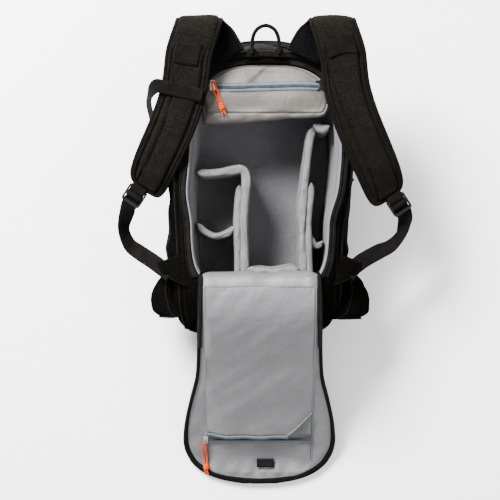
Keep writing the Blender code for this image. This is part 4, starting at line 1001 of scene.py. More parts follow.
def make_door_pocket(door):
    """The slack pocket on the door: its cloth, folded corner, zip, stitched borders and label."""
    begin = 0.052 * door.length
    mouth = POCKET_MOUTH * door.length
    base = FLAP_PAD + 2 * THIN_CLOTH + 0.0010
    half = POCKET_WIDTH / 2
    cut = 0.95 * POCKET_CORNER
    turn = np.array([[0.82, 0.57, 0], [-0.57, 0.82, 0], [0, 0, 1.0]])

    def height(across, s):
        """The cloth's height: tight at its borders, loose towards its mouth, with folds on the slant."""
        share = across / half
        ahead = (s - begin) / (mouth - begin)
        spots = np.stack([across, np.full_like(across, s), np.zeros_like(across)], axis=-1) @ turn
        edge = np.clip((1 - np.abs(share)) / 0.10, 0, 1)
        fold = 0.0020 * ripple(spots, 0.10, 41, squeeze=(0.5, 1.2, 1))
        fold += 0.0010 * ripple(spots, 0.042, 43, squeeze=(0.5, 1.3, 1))
        tight = math.sin(math.pi * min(1.0, ahead * 0.96 + 0.04)) ** 0.4
        pull = 0.0012 * np.exp(-((s - mouth) / 0.03) ** 2) * np.sin(across / 0.0085 + 1.3)
        lift = POCKET_LIFT * (1 - np.abs(share) ** 4) * float(smooth_step(ahead)) ** 1.5
        return base + lift + np.maximum((fold + 0.0012) * edge * tight, -0.0006) + pull * edge

    def height_at(x, s):
        return float(height(np.array([x]), s)[0])

    top, low = [], []
    for s in np.linspace(begin, mouth, 92):
        across = np.linspace(-half, half - max(0.0, POCKET_CORNER - (mouth - s)) * 0.95, 57)
        h = height(across, s)
        top.append([door.spot(x, s, z + 0.0005) for x, z in zip(across, h)])
        low.append([door.spot(x, s, z - 0.0003) for x, z in zip(across, h)])
    pocket = slab("door_pocket", top, low, "lining")
    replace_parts(pocket, "flap_pocket")

    def turned_corner(share, k):
        x = half - 0.001 - POCKET_CORNER * 0.93 * share * (1 - k)
        s = mouth - POCKET_CORNER * (1 - share) + 0.004 * k * share
        h = base + 0.0004 + 0.0022 * math.sin(math.pi * k) * share * (1 - 0.4 * share)
        return door.spot(x, s, h + 0.0008), door.spot(x, s, h)

    shares = np.linspace(0, 1, 16)
    slab("door_pocket_corner", *two_grids(shares, shares, turned_corner), "lining_back")
    fold = []
    for share in np.linspace(0, 1, 24):
        x = half - 0.0015 - cut * share
        s = mouth - POCKET_CORNER * (1 - share)
        fold.append(door.spot(x, s, height_at(x, s) + 0.0006))
    hose("door_pocket_fold", fold, 0.0013, "lining", sides=8)

    def lip(by, up):
        """A line past the pocket's mouth, at the height of its cloth."""
        return np.array([door.spot(x, mouth + by, height_at(x, mouth) + up)
                         for x in np.linspace(-half, half - cut, 60)])

    def lower(by, up):
        """A line on the door, where the zip's other half is sewn."""
        return np.array([door.spot(x, mouth + 1.6 * ZIP_TAPE + by, base + up)
                         for x in np.linspace(-half, half, 60)])

    def zip_half(name, line, ways, heights, node):
        faces = [np.stack([line(by, up) for by in ways], axis=1) for up in heights]
        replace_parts(slab("door_zip_%s_tape" % name, *faces, "tape"), node)

    zip_half("upper", lip, (0, 0.003, 0.0055), (0.0016, 0.0006), "flap_zip_upper")
    hose("door_zip_upper_coil", lip(0.0046, 0.0019), 0.0014, "coil", sides=8)
    zip_half("lower", lower, (0, 0.004, 0.0085), (0.0012, 0.0003), "flap_zip_lower")
    hose("door_zip_lower_coil", lower(0.0012, 0.0018), 0.0013, "coil", sides=8)

    for side, tag in ((-1, "left"), (1, "right")):
        border = np.array([door.spot(side * (half + 0.0006), s, FLAP_PAD + THIN_CLOTH + 0.0022)
                           for s in np.linspace(begin, 0.90 * door.length, 90)])
        hose("door_pocket_seam_" + tag, border, 0.0008, "lining", sides=6)
        beside = border + np.array([side * -0.0022, 0, 0.0011])
        stitches("door_pocket_stitches_" + tag, beside, "grey_thread_painted_shade", radius=BOLD_THREAD)
    across = [door.spot(x, begin + 0.0008, base + 0.0010) for x in np.linspace(-half, half, 60)]
    stitches("door_pocket_top_stitches", across, "grey_thread_painted_shade", radius=BOLD_THREAD)

    def label_pair(s, x):
        return door.spot(x, s, base + 0.0022), door.spot(x, s, base + 0.0008)

    rows = np.linspace(0.888, 0.930, 6) * door.length
    label = slab("door_label", *two_grids(rows, np.linspace(-0.004, 0.0235, 10), label_pair), "label")
    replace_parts(label, "flap_label")


# Zip pulls
def make_pull(name, where, route):
    """Two strands of orange cord from the pull, and the knot with its two short tails."""
    line = smooth_rows(route, 10)
    apart = CORD_RADIUS + SEAM_GAP
    ahead = unit(line[-1] - line[-2])
    start = line[-1] + ahead * 0.0012
    end = start + ahead * 0.0095
    across = np.array([ahead[1], -ahead[0], 0.0])
    up = np.array([0.0, 0.0, 1.0])
    wound = []
    turns = 3.1
    for t in np.linspace(0, 1, 60):
        angle = 2 * math.pi * turns * t
        full = 0.62 + 0.38 * math.sin(math.pi * t)
        centre = start * (1 - t) + end * t
        rise = 0.0021 * full * math.sin(angle) + 0.0004
        wound.append(where(*(centre + across * 0.0034 * full * math.cos(angle) + up * rise)))
    knot = hose(name + "_cord_knot", wound, CORD_RADIUS * 1.25, "cord", sides=10)
    for side, tag, length in ((-1, "a", 0.0085), (1, "b", 0.0065)):
        tail = []
        for t in np.linspace(0, 1, 12):
            p = end + ahead * (-0.001 + length * t) + across * side * (0.0011 + 0.0014 * t ** 2)
            tail.append(where(p[0], p[1], max(0.0016, p[2] - 0.0008 * t)))
        hose(name + "_cord_tail_" + tag, tail, CORD_RADIUS * 0.95, "cord", sides=10)
    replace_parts(knot, name + "_knot")
    for side, tag in ((-1, "a"), (1, "b")):
        spots = []
        for k, p in enumerate(line):
            bow = 0.0016 * math.sin(math.pi * k / (len(line) - 1)) * side
            spots.append(where(p[0] + side * apart + bow, p[1], p[2]))
        spots = np.array(spots)
        length = float(run_along(spots)[-1])
        strand = hose(name + "_cord_strand_" + tag, spots, CORD_RADIUS, "cord", sides=10)
        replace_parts(strand, name + "_cord_" + tag)


# The padded pocket under the top of the opening
LID_TOP = RIM_HEIGHT + LID_PROUD * LID_THICK
LID_MIDDLE = np.array([TOP_SHIFT, OPENING_HIGH * BODY_LENGTH - 0.52 * LID_LENGTH, 0.0])


def lid_ring(z, grow, count):
    """The lid's outline: the opening's arch above, cut by a straight side that has rounded corners."""
    edge = OPENING_HIGH * BODY_LENGTH - LID_LENGTH - grow
    corner = 0.25 * LID_LENGTH
    points = []
    for x, y, _ in opening_ring(z, grow=grow - SEAM_GAP, count=400):
        middle = float(lean(y))
        y = max(y, edge)
        limit = OPENING_HALF * 0.88 - 0.5 * corner * max(0.0, 1 - (y - edge) / corner) ** 2 + grow
        if abs(x - middle) > limit:
            x = middle + math.copysign(limit, x - middle)
        points.append((x, y))
    loop = np.vstack([points, points[:1]])
    return np.column_stack([even(loop, count + 1)[:-1], np.full(count, z)])


def below_middle(points, start, reach):
    """0 above a place below the lid's middle and 1 past a reach, both in shares of its length."""
    return np.clip((LID_MIDDLE[1] - start * LID_LENGTH - points[:, 1]) / (reach * LID_LENGTH), 0, 1)


def to_the_left(points):
    """1 at the lid's left side and 0 at its right, with a soft change between."""
    return smooth_step(0.5 - (points[:, 0] - LID_MIDDLE[0] + 0.005) / 0.13)


def edge_distance(points, outline):
    """How far each point lies from a closed outline, in metres."""
    best = np.full(len(points), 1.0)
    for start, way in zip(outline, np.roll(outline, -1, axis=0) - outline):
        share = np.clip(((points - start) @ way) / max(float(way @ way), 1e-12), 0, 1)
        best = np.minimum(best, np.linalg.norm(points - (start + share[:, None] * way), axis=1))
    return best


def lid_sides():
    """The rings up the lid's side, the last one drooping along its lower edge, and the height of its seam."""
    rings = []
    for grow, share in ((-0.34, 0.0), (-0.16, 0.08), (-0.05, 0.20), (0.0, 0.38), (0.0, 0.55)):
        ring = lid_ring(LID_TOP - LID_THICK * (1 - share), grow * LID_THICK, 220)
        below = below_middle(ring, 0.02, 0.15)[:, None]
        for _ in range(4):
            even_out = sum(np.roll(ring[:, :2], k, axis=0) for k in range(-4, 5)) / 9
            ring[:, :2] += (even_out - ring[:, :2]) * below
        rings.append(ring)
    base = rings[-1]
    seam = base[:, 1].min() + 0.0040
    left = to_the_left(base)
    base[:, 1] -= below_middle(base, 0.30, 0.12) * (0.0036 + 0.0090 * left + 0.0005 * ripple(base, 0.030, 53))
    base[:, 2] = LID_TOP - 0.0066 - below_middle(base, 0.10, 0.15) * (0.0010 + 0.0090 * left)
    return rings, seam


def lid_height(ring, outline, seam):
    """How high the lid's cloth lies over its rim: rolled edge, sewn seam, crown, folds and one crease."""
    away = edge_distance(ring[:, :2], outline)
    lower = below_middle(ring, 0.10, 0.15)
    left = to_the_left(ring)
    upper = smooth_step((ring[:, 1] - LID_MIDDLE[1] - 0.02 * LID_LENGTH) / (0.10 * LID_LENGTH))
    edge = np.clip(1 - away / (0.0050 + lower * (0.0008 + 0.0115 * left)), 0, 1)
    drop = (0.0050 + lower * (0.0010 + 0.0090 * left)) * (1 - np.sqrt(1 - edge ** 2))
    past_seam = np.minimum(away - 0.0056, ring[:, 1] - seam)
    valley = 0.0022 * np.exp(-(past_seam / 0.0012) ** 2) * (1 - upper)
    crown = 0.0048 * smooth_step(past_seam / 0.026)
    wave = 0.0014 * ripple(ring, 0.065, 51) * smooth_step(past_seam / 0.006)
    slant = (ring[:, 0] - LID_MIDDLE[0] - ring[:, 1] + LID_MIDDLE[1]) * 0.7 + 0.029
    crease = -0.0024 * smooth_step(slant / 0.007) * (1 - smooth_step((slant - 0.007) / 0.028)) * upper
    crease += 0.0003 * ripple(ring, 0.022, 57) * upper
    puff = 0.0005 * ripple(ring, 0.016, 59) * lower * (past_seam < 0)
    return crown + wave + crease + puff - drop - valley


def make_lid():
    """The padded pocket: a crowned cushion, fuller along its lower side, and its stitched border."""
    rings, seam = lid_sides()
    base = rings[-1]
    for inset in np.concatenate([np.linspace(0.006, 0.30, 34), np.linspace(0.32, 0.96, 26)]):
        ring = base + (LID_MIDDLE - base) * np.array([inset, inset, 0])
        ring[:, 2] = LID_TOP - 0.0012 + lid_height(ring, base[:, :2], seam)
        rings.append(ring)
    pad = wrap("lid_pad", rings, "pocket")
    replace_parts(pad, "lid_pocket")
    tree = tree_of(pad)
    border = []
    for spot in base[:, :2]:
        if spot[1] < LID_MIDDLE[1] + 0.06 * LID_LENGTH:
            x, y = spot + unit(LID_MIDDLE[:2] - spot) * 0.0068
            border.append((x, max(y, seam + 0.0012)))
    high = LID_MIDDLE[1] + 0.2 * LID_LENGTH
    border.sort(key=lambda spot: math.atan2(spot[0] - LID_MIDDLE[0], high - spot[1]))
    stitches("lid_border_stitches", drape(border, tree, 0.0003), "grey_thread_painted_shade", radius=BOLD_THREAD)
    return tree


def lid_zip_middle():
    """Where the middle of the lid's zip lies, and half its length."""
    y = OPENING_HIGH * BODY_LENGTH - LID_ZIP_DOWN * LID_LENGTH
    return float(lean(y)) + LID_ZIP_SHIFT, y, LID_ZIP_REACH * OPENING_HALF


def make_lid_zip(tree):
    """The pale tape across the lid with its coil and two rows of stitches, laid on the cloth."""
    centre, y, reach = lid_zip_middle()
    reach += 0.006
    xs = np.linspace(centre - reach, centre + reach - 0.004, 60)

    def row(dy, up):
        line = drape([(x, y + dy + 0.0012 * math.sin(x / 0.035)) for x in xs], tree, 0.0)
        line[:, 2] = np.convolve(np.pad(line[:, 2], 3, mode="edge"), np.ones(7) / 7, mode="valid") + up
        return line

    section = ((-0.0068, 0.0004), (-0.0042, 0.0010), (-0.0028, 0.0013), (0.0028, 0.0013), (0.0042, 0.0010),
               (0.0068, 0.0004))
    tape = slab("lid_zip_tape", np.stack([row(d, h) for d, h in section], axis=1),
                np.stack([row(d, -0.0008) for d, _ in section], axis=1), "tape")
    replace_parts(tape, "lid_zip")
    hose("lid_zip_coil", row(0.0, 0.0012), 0.0026, "coil", sides=10, flat=0.5)
    for tag, d in (("low", -0.0062), ("high", 0.0062)):
        stitches("lid_zip_stitches_" + tag, row(d, 0.0009), "grey_thread_painted_shade", radius=FINE_THREAD)


# Dividers
def make_wall(node, tall, wide, shares):
    """One padded wall: a cushion with pinched ends and a sewn top, standing on the bay's floor."""
    line = smooth_rows([(x * OPENING_HALF, y * BODY_LENGTH) for x, y in shares], 14)
    line = even(line, max(24, int(run_along(line)[-1] / 0.0022)))
    line[:, 0] += lean(line[:, 1])
    length = float(run_along(line)[-1])
    seed = len(node)
    rings = []
    for k, ((x, y), way) in enumerate(zip(line, unit(np.gradient(line, axis=0)))):
        share = k / (len(line) - 1)
        here = (x, y, 0.0)
        height = tall * DIVIDER_HEIGHT * (1 + 0.012 * float(ripple(here, 0.06, seed)))
        near = min(share, 1 - share) * length
        pinch = 0.16 + 0.84 * math.sin(min(1.0, near / 0.011) * math.pi / 2) ** 0.8
        half = wide * DIVIDER_THICK / 2 * pinch * (1 + 0.10 * float(ripple(here, 0.05, seed + 3)))
        ring = []
        for a, h in WALL_SECTION:
            z = h * height
            swell = 1 + 0.16 * math.sin(math.pi * h) + 0.07 * float(ripple((x, y, z), 0.035, seed + 7))
            top = 0.0010 * float(ripple((x, y, a * 0.01), 0.018, seed + 9)) * (h > 0.98)
            off = a * half * swell
            ring.append((x - way[1] * off, y + way[0] * off, FLOOR_LEVEL + 0.0004 + z + top))
        rings.append(ring)
    pad = wrap(node.replace("divider", "padded_wall"), rings, "nap")
    if node in DIVIDERS:
        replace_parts(pad, node)
    for tag, place in (("left", 10), ("right", 16)):
        line = np.array([ring[place] for ring in rings])[3:-3] + np.array([0, 0, 0.0003])
        stitches("%s_stitches_%s" % (pad.name, tag), line, "grey_thread_painted_shade")


def make_dividers():
    """All padded walls, with the second layers that lie against the long ones."""
    for node, (tall, wide, shares) in {**DIVIDERS, **SECOND_LAYERS}.items():
        make_wall(node, tall, wide, shares)


# Straps
class Strap:
    """One shoulder strap: its middle line, its width direction and its half width."""

    def __init__(self, side):
        self.side = side
        rows = smooth_rows(STRAP_ROUTE, 2)
        spots, acrosses, halves = [], [], []
        for i, (out, up, height, turn, width) in enumerate(rows):
            lower = float(smooth_step((i / (len(rows) - 1) - 0.62) / 0.38)) if side > 0 else 0.0
            spots.append(self.world(out * HALF, up * BODY_LENGTH, height * RIM_HEIGHT, lower))
            angle = math.radians(turn)
            acrosses.append([side * math.cos(angle), math.sin(angle), 0.0])
            halves.append([width * STRAP_WIDTH / 2])
        every = smooth_rows(np.hstack([spots, acrosses, halves]), 6)
        self.spots = every[:, :3]
        self.acrosses = unit(every[:, 3:6])
        self.halves = every[:, 6]
        self.ahead = unit(np.gradient(self.spots, axis=0))
        self.up = unit(np.cross(self.acrosses, self.ahead) * -side)

    def world(self, x, y, z, lower):
        """A place of the mirrored route in the room, with the right end's own drop."""
        drop = RIGHT_DROP if self.side > 0 else (0, 0)
        moved = y + drop[1] * lower
        return np.array([self.side * (x + drop[0] * lower) + float(strap_lean(moved)), moved, z])

    def at(self, i, a, h):
        """A point on the strap: row, share of its half width, height from its middle in metres."""
        i = int(np.clip(i, 0, len(self.spots) - 1))
        return self.spots[i] + self.acrosses[i] * a * self.halves[i] + self.up[i] * h


# Where the strap's sewn channel begins, as a share of its length
CHANNEL_START = 0.52
# Where its border is sewn, as a share of half its width
STRAP_BORDER = 0.79


def strap_channel(share):
    """Where the sewn channel runs: from the inner edge, out to the middle third and back again."""
    t = min(1.0, max(0.0, (share - CHANNEL_START) / (1 - CHANNEL_START)))
    return -0.78 + 0.42 * math.sin(math.pi * t) ** 0.7


def strap_section(strap, i, count):
    """One ring of a strap: a flat cushion with sewn grooves on its outer side and a slightly uneven cloth."""
    total = len(strap.spots)
    share = i / (total - 1)
    front = float(smooth_step((share - 0.42) / 0.1))
    sewn = float(smooth_step((share - CHANNEL_START) / 0.02))
    ends = math.sqrt(min(1.0, (total - 1 - i + 0.35) / 6.0)) * math.sqrt(min(1.0, (i + 3) / 6.0))
    ring = []
    for k in range(count):
        angle = 2 * math.pi * k / count
        c, s = math.cos(angle), math.sin(angle)
        a = math.copysign(abs(c) ** 0.55, c)
        h = math.copysign(abs(s) ** 0.75, s)
        away = a * strap.side - strap_channel(share)
        groove = math.exp(-((abs(a) - STRAP_BORDER) / 0.07) ** 2)
        groove += sewn * (math.exp(-(away / 0.045) ** 2) - 0.25 * math.exp(-((away - 0.11) / 0.06) ** 2))
        thick = STRAP_THICK / 2 * ends * (1 - (0.85 * min(groove, 1.0) * front if h > 0 else 0.0))
        p = strap.at(i, a * 0.985, h * thick)
        wave = 0.0006 * float(ripple(p, 0.05, 61)) + 0.0004 * float(ripple(p, 0.02, 63))
        ring.append(p + strap.up[i] * (wave if abs(a) < 0.9 else 0.0))
    return ring


def make_strap(strap, tag):
    """The padded strap: dobby cloth outside, spacer mesh inside, bound edges and sewn channels."""
    total = len(strap.spots)

    def inner_side(along, around):
        """1, the mesh, on the side that lies on the shoulder."""
        return int(0.53 < around < 0.97)

    rings = [strap_section(strap, i, 72) for i in range(total)]
    pad = wrap("strap_cushion_" + tag, rings, "strap", looks=["strap", "mesh"], pick=inner_side)
    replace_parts(pad, "strap_pad_" + tag)

    left = [strap.at(i, -1.0, 0) - strap.acrosses[i] * 0.0014 for i in range(total)]
    right = [strap.at(i, 1.0, 0) + strap.acrosses[i] * 0.0014 for i in range(total)]
    end = total - 1
    tip = []
    for angle in np.linspace(-math.pi / 2, math.pi / 2, 15)[1:-1]:
        tip.append(strap.at(end, math.sin(angle), 0) + strap.ahead[end] * 0.0030 * math.cos(angle))
    path = even(np.vstack([left, tip, right[::-1]]), 360)
    path = np.array([path[max(0, i - 2):i + 3].mean(axis=0) for i in range(len(path))])
    edge = hose("strap_edge_" + tag, path, 0.0026, "binding", sides=10, flat=1.15)
    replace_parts(edge, "strap_binding_" + tag)

    face = STRAP_THICK / 2
    for mark, a in (("a", -STRAP_BORDER), ("b", STRAP_BORDER)):
        line = [strap.at(i, a, face * 0.22) for i in range(int(0.36 * total), total - 4)]
        stitches("strap_stitches_%s_%s" % (tag, mark), line, "thread", radius=BOLD_THREAD)
    for mark, aside in (("a", -0.045), ("b", 0.045)):
        line = [strap.at(i, (strap_channel(i / (total - 1)) + aside) * strap.side, face * 0.55)
                for i in range(int(0.54 * total), total - 8)]
        stitches("strap_channel_%s_%s" % (tag, mark), line, "thread", radius=BOLD_THREAD)


def strap_patch(strap, name, rows, sides, bow, look):
    """A flat patch sewn on a strap's outer side, with a stitched border. Rows are shares of its length."""
    total = len(strap.spots)
    lift = 0.0009

    def pair(share, k):
        a = sides[0] + (sides[1] - sides[0]) * k
        along = (rows[0] + (rows[1] - rows[0]) * share) * total + bow * total * math.sin(math.pi * k) * share
        i = int(along)
        t = along - i
        h = STRAP_THICK / 2 + lift * min(1.0, 0.3 + min(share, 1 - share, k, 1 - k) * 12)
        return [strap.at(i, a, z) * (1 - t) + strap.at(i + 1, a, z) * t for z in (h, h - lift - 0.001)]

    grid, under = two_grids(np.linspace(0, 1, 12), np.linspace(0, 1, 16), pair)
    slab(name, grid, under, look)
    border = np.vstack([grid[1, 1:-1], grid[1:-1, -2], grid[-2, -2:0:-1], grid[-2:0:-1, 1]])
    stitches(name + "_stitches", border + strap.up[int(rows[0] * total)] * 0.0004, "thread",
             radius=PATCH_THREAD)


def make_adjuster(strap, tag):
    """The webbing loop that holds the lock and the lower webbing threaded through it."""
    side = strap.side
    across = strap.acrosses[-1]
    along = unit(side * np.array([across[1], -across[0], 0.0]) - np.array([0, 0, LOCK_DIP]))
    start = strap.spots[-1] + along * LOCK_AHEAD + across * LOCK_ASIDE
    up = np.cross(across, along)
    up *= math.copysign(1.0, up[2])
    leg = LOCK_THICK / 2 + WEB_THICK / 2 + 2 * SEAM_GAP
    slot = (LOCK_LENGTH - 3 * LOCK_BAR) / 2
    turn = (slot + LOCK_BAR) / 2
    reach = LOCK_AHEAD - STRAP_BINDING - 3 * SEAM_GAP
    loop = [(-reach - 0.004, 0.9), (-turn - 0.25 * slot, 1.0), (-turn, 0.6), (-turn + 0.0012, 0)]
    loop = loop + [(a, -h) for a, h in reversed(loop[:-1])]
    spots = smooth_rows([start + along * a + up * h * leg for a, h in loop], 6)
    held = band("lock_webbing_" + tag, spots, [across] * len(spots), WEB_WIDTH / 2, WEB_THICK, "webbing")
    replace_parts(held, "lock_loop_" + tag)

    near = LOCK_BAR / 2 + 0.0012
    hook = [(0.66 * LOCK_LENGTH, -2.3), (turn, -2.0), (0.0, -1.9), (-near - 0.0016, -1.2),
            (-near - 0.0016, 0.0), (-near + 0.0008, 0.95), (0.0, 1.25), (near - 0.0008, 0.95),
            (near + 0.0012, 0.0), (near + 0.0032, -0.85), (0.46 * LOCK_LENGTH, -1.0), (0.60 * LOCK_LENGTH, -0.6)]
    spots = [start + along * a + up * h * leg for a, h in hook]
    acrosses = [across] * len(spots)
    rows = smooth_rows(LOWER_WEB_ROUTE, 2)
    for i, (out, y, height, turn_by, twist) in enumerate(rows):
        share = 1 - i / (len(rows) - 1)
        spot = strap.world(out * HALF, y * BODY_LENGTH, height * RIM_HEIGHT, share)
        spots.append(spot + math.sin(math.pi * share) ** 0.7 * (side > 0) * RIGHT_WEB_SLACK)
        angle = math.radians(turn_by)
        roll = math.radians(twist)
        flat = math.cos(roll)
        acrosses.append(np.array([side * flat * math.cos(angle), flat * math.sin(angle), math.sin(roll)]))
    if np.dot(acrosses[len(hook)], across) < 0:
        acrosses = [across] * len(hook) + [-a for a in acrosses[len(hook):]]
    every = smooth_rows(np.hstack([spots, acrosses]), 5)
    web = band("lower_webbing_" + tag, every[:, :3], every[:, 3:], WEB_WIDTH / 2, WEB_THICK, "webbing")
    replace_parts(web, "lower_web_" + tag)


# Side pieces
def side_reach(tree, y, z, side):
    """How far out the body's cloth lies on one side at a place along it and a height."""
    start = Vector((float(lean(y)) + side * BODY_WIDTH, y, z))
    hit = tree.ray_cast(start, Vector((-side, 0, 0)))
    return side * hit[0].x if hit[0] is not None else HALF * 0.8


def make_wing(body_tree, side, tag):
    """The padded hip wing: a puffy cushion with a corded edge, and the webbing along its lower end."""
    high = -0.285 * BODY_LENGTH
    length, reach = (0.074, 0.167) if side < 0 else (0.0765, 0.169)
    z_top, z_low = 0.765 * RIM_HEIGHT, FRONT_DEPTH + 0.0098

    def pair(row, depth):
        share, out = row
        y = high - share * length
        z = z_top + depth * (z_low - z_top)
        x = side_reach(body_tree, y, z, side) + 0.001
        fill = 0.30 + 0.70 * math.sin(math.pi * depth) ** 0.6
        ends = math.sin(math.pi * min(0.5, 0.15 + min(share, 1 - share) * 2.5))
        puff = (out * reach - x) * fill * (0.75 + 0.25 * ends) + 0.0012 * float(ripple((x, y, z), 0.03, 71))
        return (side * (x + max(puff, 0.001)), y, z), (side * (x - 0.004), y, z)

    grid, under = two_grids(smooth_rows(WING_SIDES, 6), np.linspace(0, 1, 26), pair)
    pad = slab("hip_cushion_" + tag, grid, under, "shell")
    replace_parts(pad, "hip_wing_" + tag)
    outline = np.vstack([grid[:, 0], grid[-1, 1:], grid[::-1, -1]])
    hose("hip_edge_" + tag, even(outline, 90), 0.0017, "binding", sides=8)
    stitches("hip_stitches_" + tag, grid[2:-2, 5] + np.array([side * 0.0004, 0, 0]), "thread")
    y = high - length - SEAM_GAP - 0.001
    z = (z_top + z_low) / 2
    x = side_reach(body_tree, y + 0.002, z, side)
    spots = [np.array([side * (x + s * (0.93 * reach - x)), y, z]) for s in np.linspace(0, 1, 12)]
    acrosses = [np.array([0, 0, 1.0])] * len(spots)
    web = band("hip_webbing_" + tag, spots, acrosses, WEB_WIDTH / 2, 0.002, "webbing")
    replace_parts(web, "hip_web_" + tag)


def make_side_pocket(body_tree, side, tag):
    """A stretch pocket that hugs the side, with a gathered elastic hem at its top."""
    low = -0.29 * BODY_LENGTH
    length = 0.138
    bottom, top = 0.31, 0.76
    swell = 0.007 if side > 0 else 0.0015

    def pair(y, height):
        z = height * RIM_HEIGHT
        x = side_reach(body_tree, y, z, side)
        round_off = math.sin(math.pi * (z / RIM_HEIGHT - bottom) / (top - bottom))
        hem = float(smooth_step((y - (low + length - 0.012)) / 0.008))
        thick = 0.0016 + swell * round_off * float(smooth_step((y - low) / (0.2 * length)))
        thick += (0.0008 + 0.0007 * math.sin(z / 0.0022)) * hem + 0.0006 * float(ripple((x, y, z), 0.03, 81))
        return (side * (x + thick), y, z), (side * (x - 0.003), y, z)

    grid, under = two_grids(np.linspace(low, low + length, 44), np.linspace(bottom, top, 26), pair)
    pocket = slab("stretch_pocket_" + tag, grid, under, "stretch")
    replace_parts(pocket, "side_pocket_" + tag)
    hose("stretch_hem_" + tag, grid[-1], 0.0020, "binding", sides=8)


def make_side_tab(body_tree, side, tag):
    """The sewn triangle between the body and the lower webbing, folded from the body's own cloth."""
    z = RIM_HEIGHT * 0.945

    def pair(share, a):
        y = -0.100 - 0.054 * share
        inner = np.array([side_reach(body_tree, y, z, side) - 0.004, y, z + 0.0016])
        outer = np.array([0.1545 - 0.0080 * share, -0.1160 - 0.0185 * share, RIM_HEIGHT * 0.868])
        p = inner * (1 - a) + outer * a
        p[2] += 0.0022 * math.sin(math.pi * a) + 0.0004 * float(ripple(p, 0.012, 91))
        p[0] *= side
        return p + np.array([0, 0, 0.0022]), p + np.array([0, 0, 0.0008])

    shares = np.linspace(0, 1, 14)
    grid, under = two_grids(shares, shares, pair)
    tab = slab("webbing_tab_" + tag, grid, under, "shell")
    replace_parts(tab, "side_tab_" + tag)
    border = np.vstack([grid[1, 1:-1], grid[1:-1, -2], grid[-2, -2:0:-1]]) + np.array([0, 0, 0.0003])
    stitches("webbing_tab_stitches_" + tag, border, "thread", radius=PATCH_THREAD)


def make_chest_pieces(left, right):
    """The chest strap's loop on one side, and its short webbing on the other."""
    i = 14 * 6
    lift = STRAP_THICK / 2 + WEB_THICK / 2 + 2 * SEAM_GAP
    across, way, normal = left.acrosses[i], left.ahead[i], left.up[i]
    reach = left.halves[i] + STRAP_BINDING + 2 * SEAM_GAP
    top = left.spots[i] + normal * lift + way * 0.006
    shares = ((-0.86, 0, 0), (0, 0, 0), (1.0, 0, 0), (1.19, 0.03, -0.003), (1.33, 0.28, -0.009),
              (1.42, 0.66, -0.016), (1.30, 1.06, -0.0195), (1.06, 1.42, -0.0195), (0.72, 1.62, -0.0180))
    rows = [top + across * a * reach + way * b * reach + np.array([0, 0, c]) for a, b, c in shares]
    line = smooth_rows(rows, 9)
    acrosses = []
    for n, step in enumerate(np.gradient(line, axis=0)):
        turned = float(smooth_step((n / (len(line) - 1) - 0.32) / 0.3))
        turned -= 0.8 * float(smooth_step((n / (len(line) - 1) - 0.78) / 0.2))
        flat = unit(np.cross(normal, step))
        acrosses.append(flat * (1 - 0.6 * turned) + np.array([0, 0, 0.8]) * turned)
    web = band("chest_webbing_left", line, acrosses, 0.0100, WEB_THICK, "webbing")
    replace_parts(web, "sternum_web_left")
    box = []
    for a, b in ((-0.80, -0.6), (-0.80, 0.6), (-0.45, 0.6), (-0.45, -0.6), (-0.80, -0.6), (-0.45, 0.6)):
        box.append(top + across * a * reach + way * b * 0.009 + normal * 0.0010)
    stitches("chest_box_stitches", box, "thread", radius=PATCH_THREAD)

    across, way, normal = right.acrosses[i], right.ahead[i], right.up[i]
    reach = right.halves[i] + STRAP_BINDING + 2 * SEAM_GAP
    under = right.spots[i] - normal * lift + way * -0.010
    line = smooth_rows([under - across * a * reach for a in (-0.5, 0.0, 0.4, 0.75)], 6)
    web = band("chest_webbing_right", line, [way] * len(line), 0.009, WEB_THICK, "webbing")
    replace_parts(web, "sternum_web_right")


def make_handle():
    """The carry loop: a rounded webbing arch on two sewn tabs."""
    base = RIM_HEIGHT + 0.008 + 2 * SEAM_GAP
    y = RIM_TOP[4] * BODY_LENGTH - 0.002
    half = 0.020
    reach = 0.037
    lift = base + 0.002 + SEAM_GAP + 0.0022
    # across by half the span, along by the reach, rise in metres
    leg = ((-1.0, 0.0, 0.0), (-1.0, 0.30, 0.0), (-0.93, 0.62, 0.0035), (-0.62, 0.92, 0.0065))
    arch = leg + ((0.0, 1.06, 0.008),) + tuple((-a, b, c) for a, b, c in reversed(leg))
    rows = [(TOP_SHIFT + a * half, y + b * reach, lift + c) for a, b, c in arch]
    loop = hose("carry_loop", even(smooth_rows(rows, 10), 90), 0.0029, "webbing", sides=12)
    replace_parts(loop, "grab_handle")
    for side, tag in ((-1, "left"), (1, "right")):

        def pair(share, a):
            x = TOP_SHIFT + side * half + a * (0.0057 + 0.0030 * share)
            along = y + 0.006 - 0.012 * share
            return (x, along, base + 0.0016 + 0.0012 * math.cos(a * 1.4)), (x, along, base - 0.001)

        grids = two_grids(np.linspace(0, 1, 8), np.linspace(-1, 1, 9), pair)
        tab = slab("loop_tab_" + tag, *grids, "binding")
        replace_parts(tab, "handle_tab_" + tag)


def make_dome(body_tree):
    """The padded swell of the bag's upper end, behind the carry loop."""

    def pair(x, level):
        z = 0.052 + level * 0.112
        hit = body_tree.ray_cast(Vector((x, 0.4, z)), Vector((0, -1, 0)))[0]
        y = hit.y if hit is not None else 0.5 * BODY_LENGTH
        rise = 0.0115 * max(0.0, 1 - ((x - 0.002) / 0.038) ** 2) ** 0.8 * math.sin(math.pi * level) ** 0.7
        wave = 0.0004 * float(ripple((x, 0, z), 0.03, 95)) * (rise > 0.002)
        return (x, y + 0.0004 + rise + wave, z), (x, y - 0.003, z)

    grids = two_grids(np.linspace(-0.036, 0.040, 34), np.linspace(0, 1, 22), pair)
    dome = slab("top_end_swell", *grids, "front")


# Hard pieces, room and the order of making
HARD_PIECES = {
    "acetal": ("ladder_lock_left", "ladder_lock_right", "sternum_buckle"),
    "zinc": ("flap_slider", "flap_tab", "lid_slider", "lid_tab"),
}


